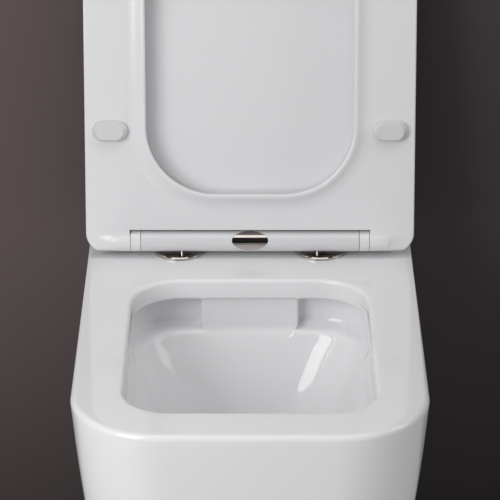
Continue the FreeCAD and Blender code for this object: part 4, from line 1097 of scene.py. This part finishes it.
@dataclass
class Casting:
    """The fired pan: its fine glazed skin, closed behind by what the frame holds of its hidden sides.

    Attributes:
        skirt: The outer form.
        bowl: The inside.
        nearness: Distance within which a face that looks the same way as the skin is left out.
        touching: Distance within which any face is left out.
        alignment: Cosine from which two faces look the same way.
        sharp_from: Angle from which an edge stays sharp.
    """

    skirt: Skirt = field(default_factory=Skirt)
    bowl: Bowl = field(default_factory=Bowl)
    nearness: float = 6.0
    touching: float = 1.5
    alignment: float = 0.5
    sharp_from: float = math.radians(50)

    def skin(self) -> Mesh:
        """Builds the glazed skin, mirrored from its right half.

        Returns:
            The mesh, with its faces turned outwards.
        """
        spots = self.bowl.spots()
        right = []
        for spot in spots:
            inside = self.bowl.section(spot)
            right.append(self.skirt.section(spot, inside[0]) + inside)
        rings = mirrored(right)
        rows = [list(row) for row in zip(*rings)]
        behind = sum(spot.stretch in (Stretch.BACK, Stretch.BACK_CORNER) for spot in spots)
        front = range(behind, len(rings) - behind)
        under_deck = len(self.skirt.section(spots[0], right[0][-1])) - self.skirt.deck_rows
        return ring_mesh("pan_glaze", rows, lambda row, column: row < under_deck and column not in front)

    def build(self, material: Material) -> Object:
        """Joins the skin with the hidden sides of the frame's castings.

        Args:
            material: The glaze.

        Returns:
            The finished piece, which rides with the pan.
        """
        joined = bmesh.new()
        joined.from_mesh(self.skin())
        joined.normal_update()
        tree = BVHTree.FromBMesh(joined)
        for node in ("pan", "bowl"):
            copy = merged_copy(node)
            covered = [face for face in copy.faces if self._covered(face, tree)]
            bmesh.ops.delete(copy, geom=covered, context="FACES")
            rest = bpy.data.meshes.new(node + "_hidden_sides")
            copy.to_mesh(rest)
            copy.free()
            joined.from_mesh(rest)
        piece = piece_of("pan_casting", smooth_mesh("pan_casting", joined, self.sharp_from), material)
        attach(piece, "pan")
        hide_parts("pan", "bowl")
        return piece

    def _covered(self, face: bmesh.types.BMFace, tree: BVHTree) -> bool:
        """Finds the faces that the skin stands for.

        Args:
            face: A face of the frame's castings.
            tree: The skin.

        Returns:
            Whether the skin lies at the face, or close by and looking the same way.
        """
        _, normal, _, distance = tree.find_nearest(face.calc_center_median())
        same_way = distance < self.nearness * MM and normal.dot(face.normal) > self.alignment
        return same_way or distance < self.touching * MM


STEPS_PER_TURN = 24


def coil_tree() -> NodeTree:
    """Builds the tree that winds a wire round an axis and repeats it along a row.

    Returns:
        The tree, used for screw threads and for springs.
    """
    tree = bpy.data.node_groups.new("wound_wire", "GeometryNodeTree")
    for names, kind in (
        (("Geometry",), "Geometry"),
        (("Radius", "Wire", "Pitch", "Length"), "Float"),
        (("Sides", "Count"), "Int"),
        (("Start", "Step", "Tilt"), "Vector"),
        (("Material",), "Material"),
    ):
        for name in names:
            tree.interface.new_socket(name, in_out="INPUT", socket_type="NodeSocket" + kind)
    tree.interface.new_socket("Geometry", in_out="OUTPUT", socket_type="NodeSocketGeometry")
    nodes = Nodes(tree)
    sizes = nodes.add("NodeGroupInput")
    turns = nodes.add("ShaderNodeMath", operation="DIVIDE")
    helix = nodes.add("GeometryNodeCurveSpiral", {"Resolution": STEPS_PER_TURN})
    profile = nodes.add("GeometryNodeCurvePrimitiveCircle")
    sweep = nodes.add("GeometryNodeCurveToMesh", {"Fill Caps": True})
    row = nodes.add("GeometryNodeMeshLine")
    placed = nodes.add("GeometryNodeInstanceOnPoints")
    real = nodes.add("GeometryNodeRealizeInstances")
    painted = nodes.add("GeometryNodeSetMaterial")
    result = nodes.add("NodeGroupOutput")
    nodes.join(
        (sizes, "Length", turns, 0),
        (sizes, "Pitch", turns, 1),
        (turns, 0, helix, "Rotations"),
        (sizes, "Radius", helix, "Start Radius"),
        (sizes, "Radius", helix, "End Radius"),
        (sizes, "Length", helix, "Height"),
        (sizes, "Sides", profile, "Resolution"),
        (sizes, "Wire", profile, "Radius"),
        (helix, "Curve", sweep, "Curve"),
        (profile, "Curve", sweep, "Profile Curve"),
        (sizes, "Count", row, "Count"),
        (sizes, "Start", row, "Start Location"),
        (sizes, "Step", row, "Offset"),
        (row, "Mesh", placed, "Points"),
        (sweep, "Mesh", placed, "Instance"),
        (sizes, "Tilt", placed, "Rotation"),
        (placed, "Instances", real, "Geometry"),
        (real, "Geometry", painted, "Geometry"),
        (sizes, "Material", painted, "Material"),
        (painted, "Geometry", result, "Geometry"),
    )
    return tree


@dataclass
class Coil:
    """Wire wound round an axis, once or in a row.

    Attributes:
        name: Name of the piece.
        start: Where the wire's axis starts, in millimetres.
        radius: Radius from the axis to the middle of the wire.
        wire: Radius of the wire.
        pitch: Rise of one turn.
        length: Rise of the whole coil.
        sides: How many sides the wire has.
        count: How many coils stand in the row.
        step: From one coil to the next.
        tilt: Turn of the axis away from upright, about X, Y and Z.
    """

    name: str
    start: Triple
    radius: float
    wire: float
    pitch: float
    length: float
    sides: int = 8
    count: int = 1
    step: Triple = (0.0, 0.0, 0.0)
    tilt: Triple = (0.0, 0.0, 0.0)

    def build(self, tree: NodeTree, material: Material) -> Object:
        """Winds the wire.

        Args:
            tree: The tree that coil_tree builds.
            material: The steel.

        Returns:
            The finished piece, which rides with the pan.
        """
        sizes = {"Radius": self.radius, "Wire": self.wire, "Pitch": self.pitch, "Length": self.length}
        values = {name: size * MM for name, size in sizes.items()}
        for name, point in (("Start", self.start), ("Step", self.step)):
            values[name] = tuple(size * MM for size in point)
        values |= {"Sides": self.sides, "Count": self.count, "Tilt": self.tilt, "Material": material}
        holder = put("wire_holder", bpy.data.meshes.new("wire_holder"))
        modifier = holder.modifiers.new("winding", "NODES")
        modifier.node_group = tree
        for socket in tree.interface.items_tree:
            if socket.in_out == "INPUT" and socket.name in values:
                modifier[socket.identifier] = values[socket.name]
        ready = holder.evaluated_get(bpy.context.evaluated_depsgraph_get())
        mesh = bpy.data.meshes.new_from_object(ready)
        bpy.data.objects.remove(holder)
        wound = bmesh.new()
        wound.from_mesh(mesh)
        bmesh.ops.recalc_face_normals(wound, faces=wound.faces)
        wound.to_mesh(mesh)
        wound.free()
        mesh.materials.clear()
        piece = piece_of(self.name, mesh, material)
        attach(piece, "pan")
        return piece


@dataclass
class WoundSteel:
    """Threads on the free ends of the post bolts, and the springs behind the release sliders."""

    bolt_axis: Pair = (77.5, -103.0)
    thread_foot: float = 34.4
    thread_length: float = 6.2
    thread_pitch: float = 1.0
    thread_root: float = 2.95
    thread_ridge: float = 0.35
    thread_sides: int = 3
    hinge: Pair = HINGE
    spring_ends: Pair = (31.0, 52.0)
    spring_radius: float = 6.6
    spring_wire: float = 0.5
    spring_pitch: float = 4.0
    slider_travel: float = 3.0

    def build(self, material: Material) -> None:
        """Winds the threads and both springs.

        Args:
            material: The steel of the bolts and springs.
        """
        tree = coil_tree()
        x, y = self.bolt_axis
        Coil(
            "post_bolt_threads",
            (-x, y, self.thread_foot),
            self.thread_root,
            self.thread_ridge,
            self.thread_pitch,
            self.thread_length,
            self.thread_sides,
            count=2,
            step=(2 * x, 0.0, 0.0),
        ).build(tree, material)
        near, far = self.spring_ends
        length = far - near
        for side, sign in (("left", -1), ("right", 1)):
            foot = min(sign * near, sign * far) + self.spring_wire
            coil = Coil(
                f"slider_spring_coil_{side}",
                (foot, *self.hinge),
                self.spring_radius,
                self.spring_wire,
                self.spring_pitch,
                length - 2 * self.spring_wire,
                tilt=(0.0, math.pi / 2, 0.0),
            )
            spring = coil.build(tree, material)
            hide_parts(f"slider_spring_{side}")
            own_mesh(spring)


def dress_nodes() -> dict[str, Material]:
    """Gives every node of the frame its finish.

    Returns:
        The materials by name.
    """
    wave_group = surface_wave_group()
    made = {}
    for finish, names in NODES_OF_FINISH:
        if finish.name not in made:
            made[finish.name] = finish.make(wave_group)
        for name in names:
            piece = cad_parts[name]
            piece.data.materials.clear()
            piece.data.materials.append(made[finish.name])
            LOG.info("%s wears %s", name, finish.name)
    return made


def main() -> None:
    """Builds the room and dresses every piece."""
    logging.basicConfig(level=logging.INFO, format="%(name)s: %(message)s")
    scene = bpy.context.scene
    scene.view_settings.view_transform = "Standard"
    Viewpoint().build()
    Room().build()
    materials = dress_nodes()
    Casting().build(materials[GLAZE.name])
    SeatRing().build(materials[SEAT_WHITE.name])
    WoundSteel().build(materials[BRIGHT_STEEL.name])


if __name__ == "__main__":
    main()
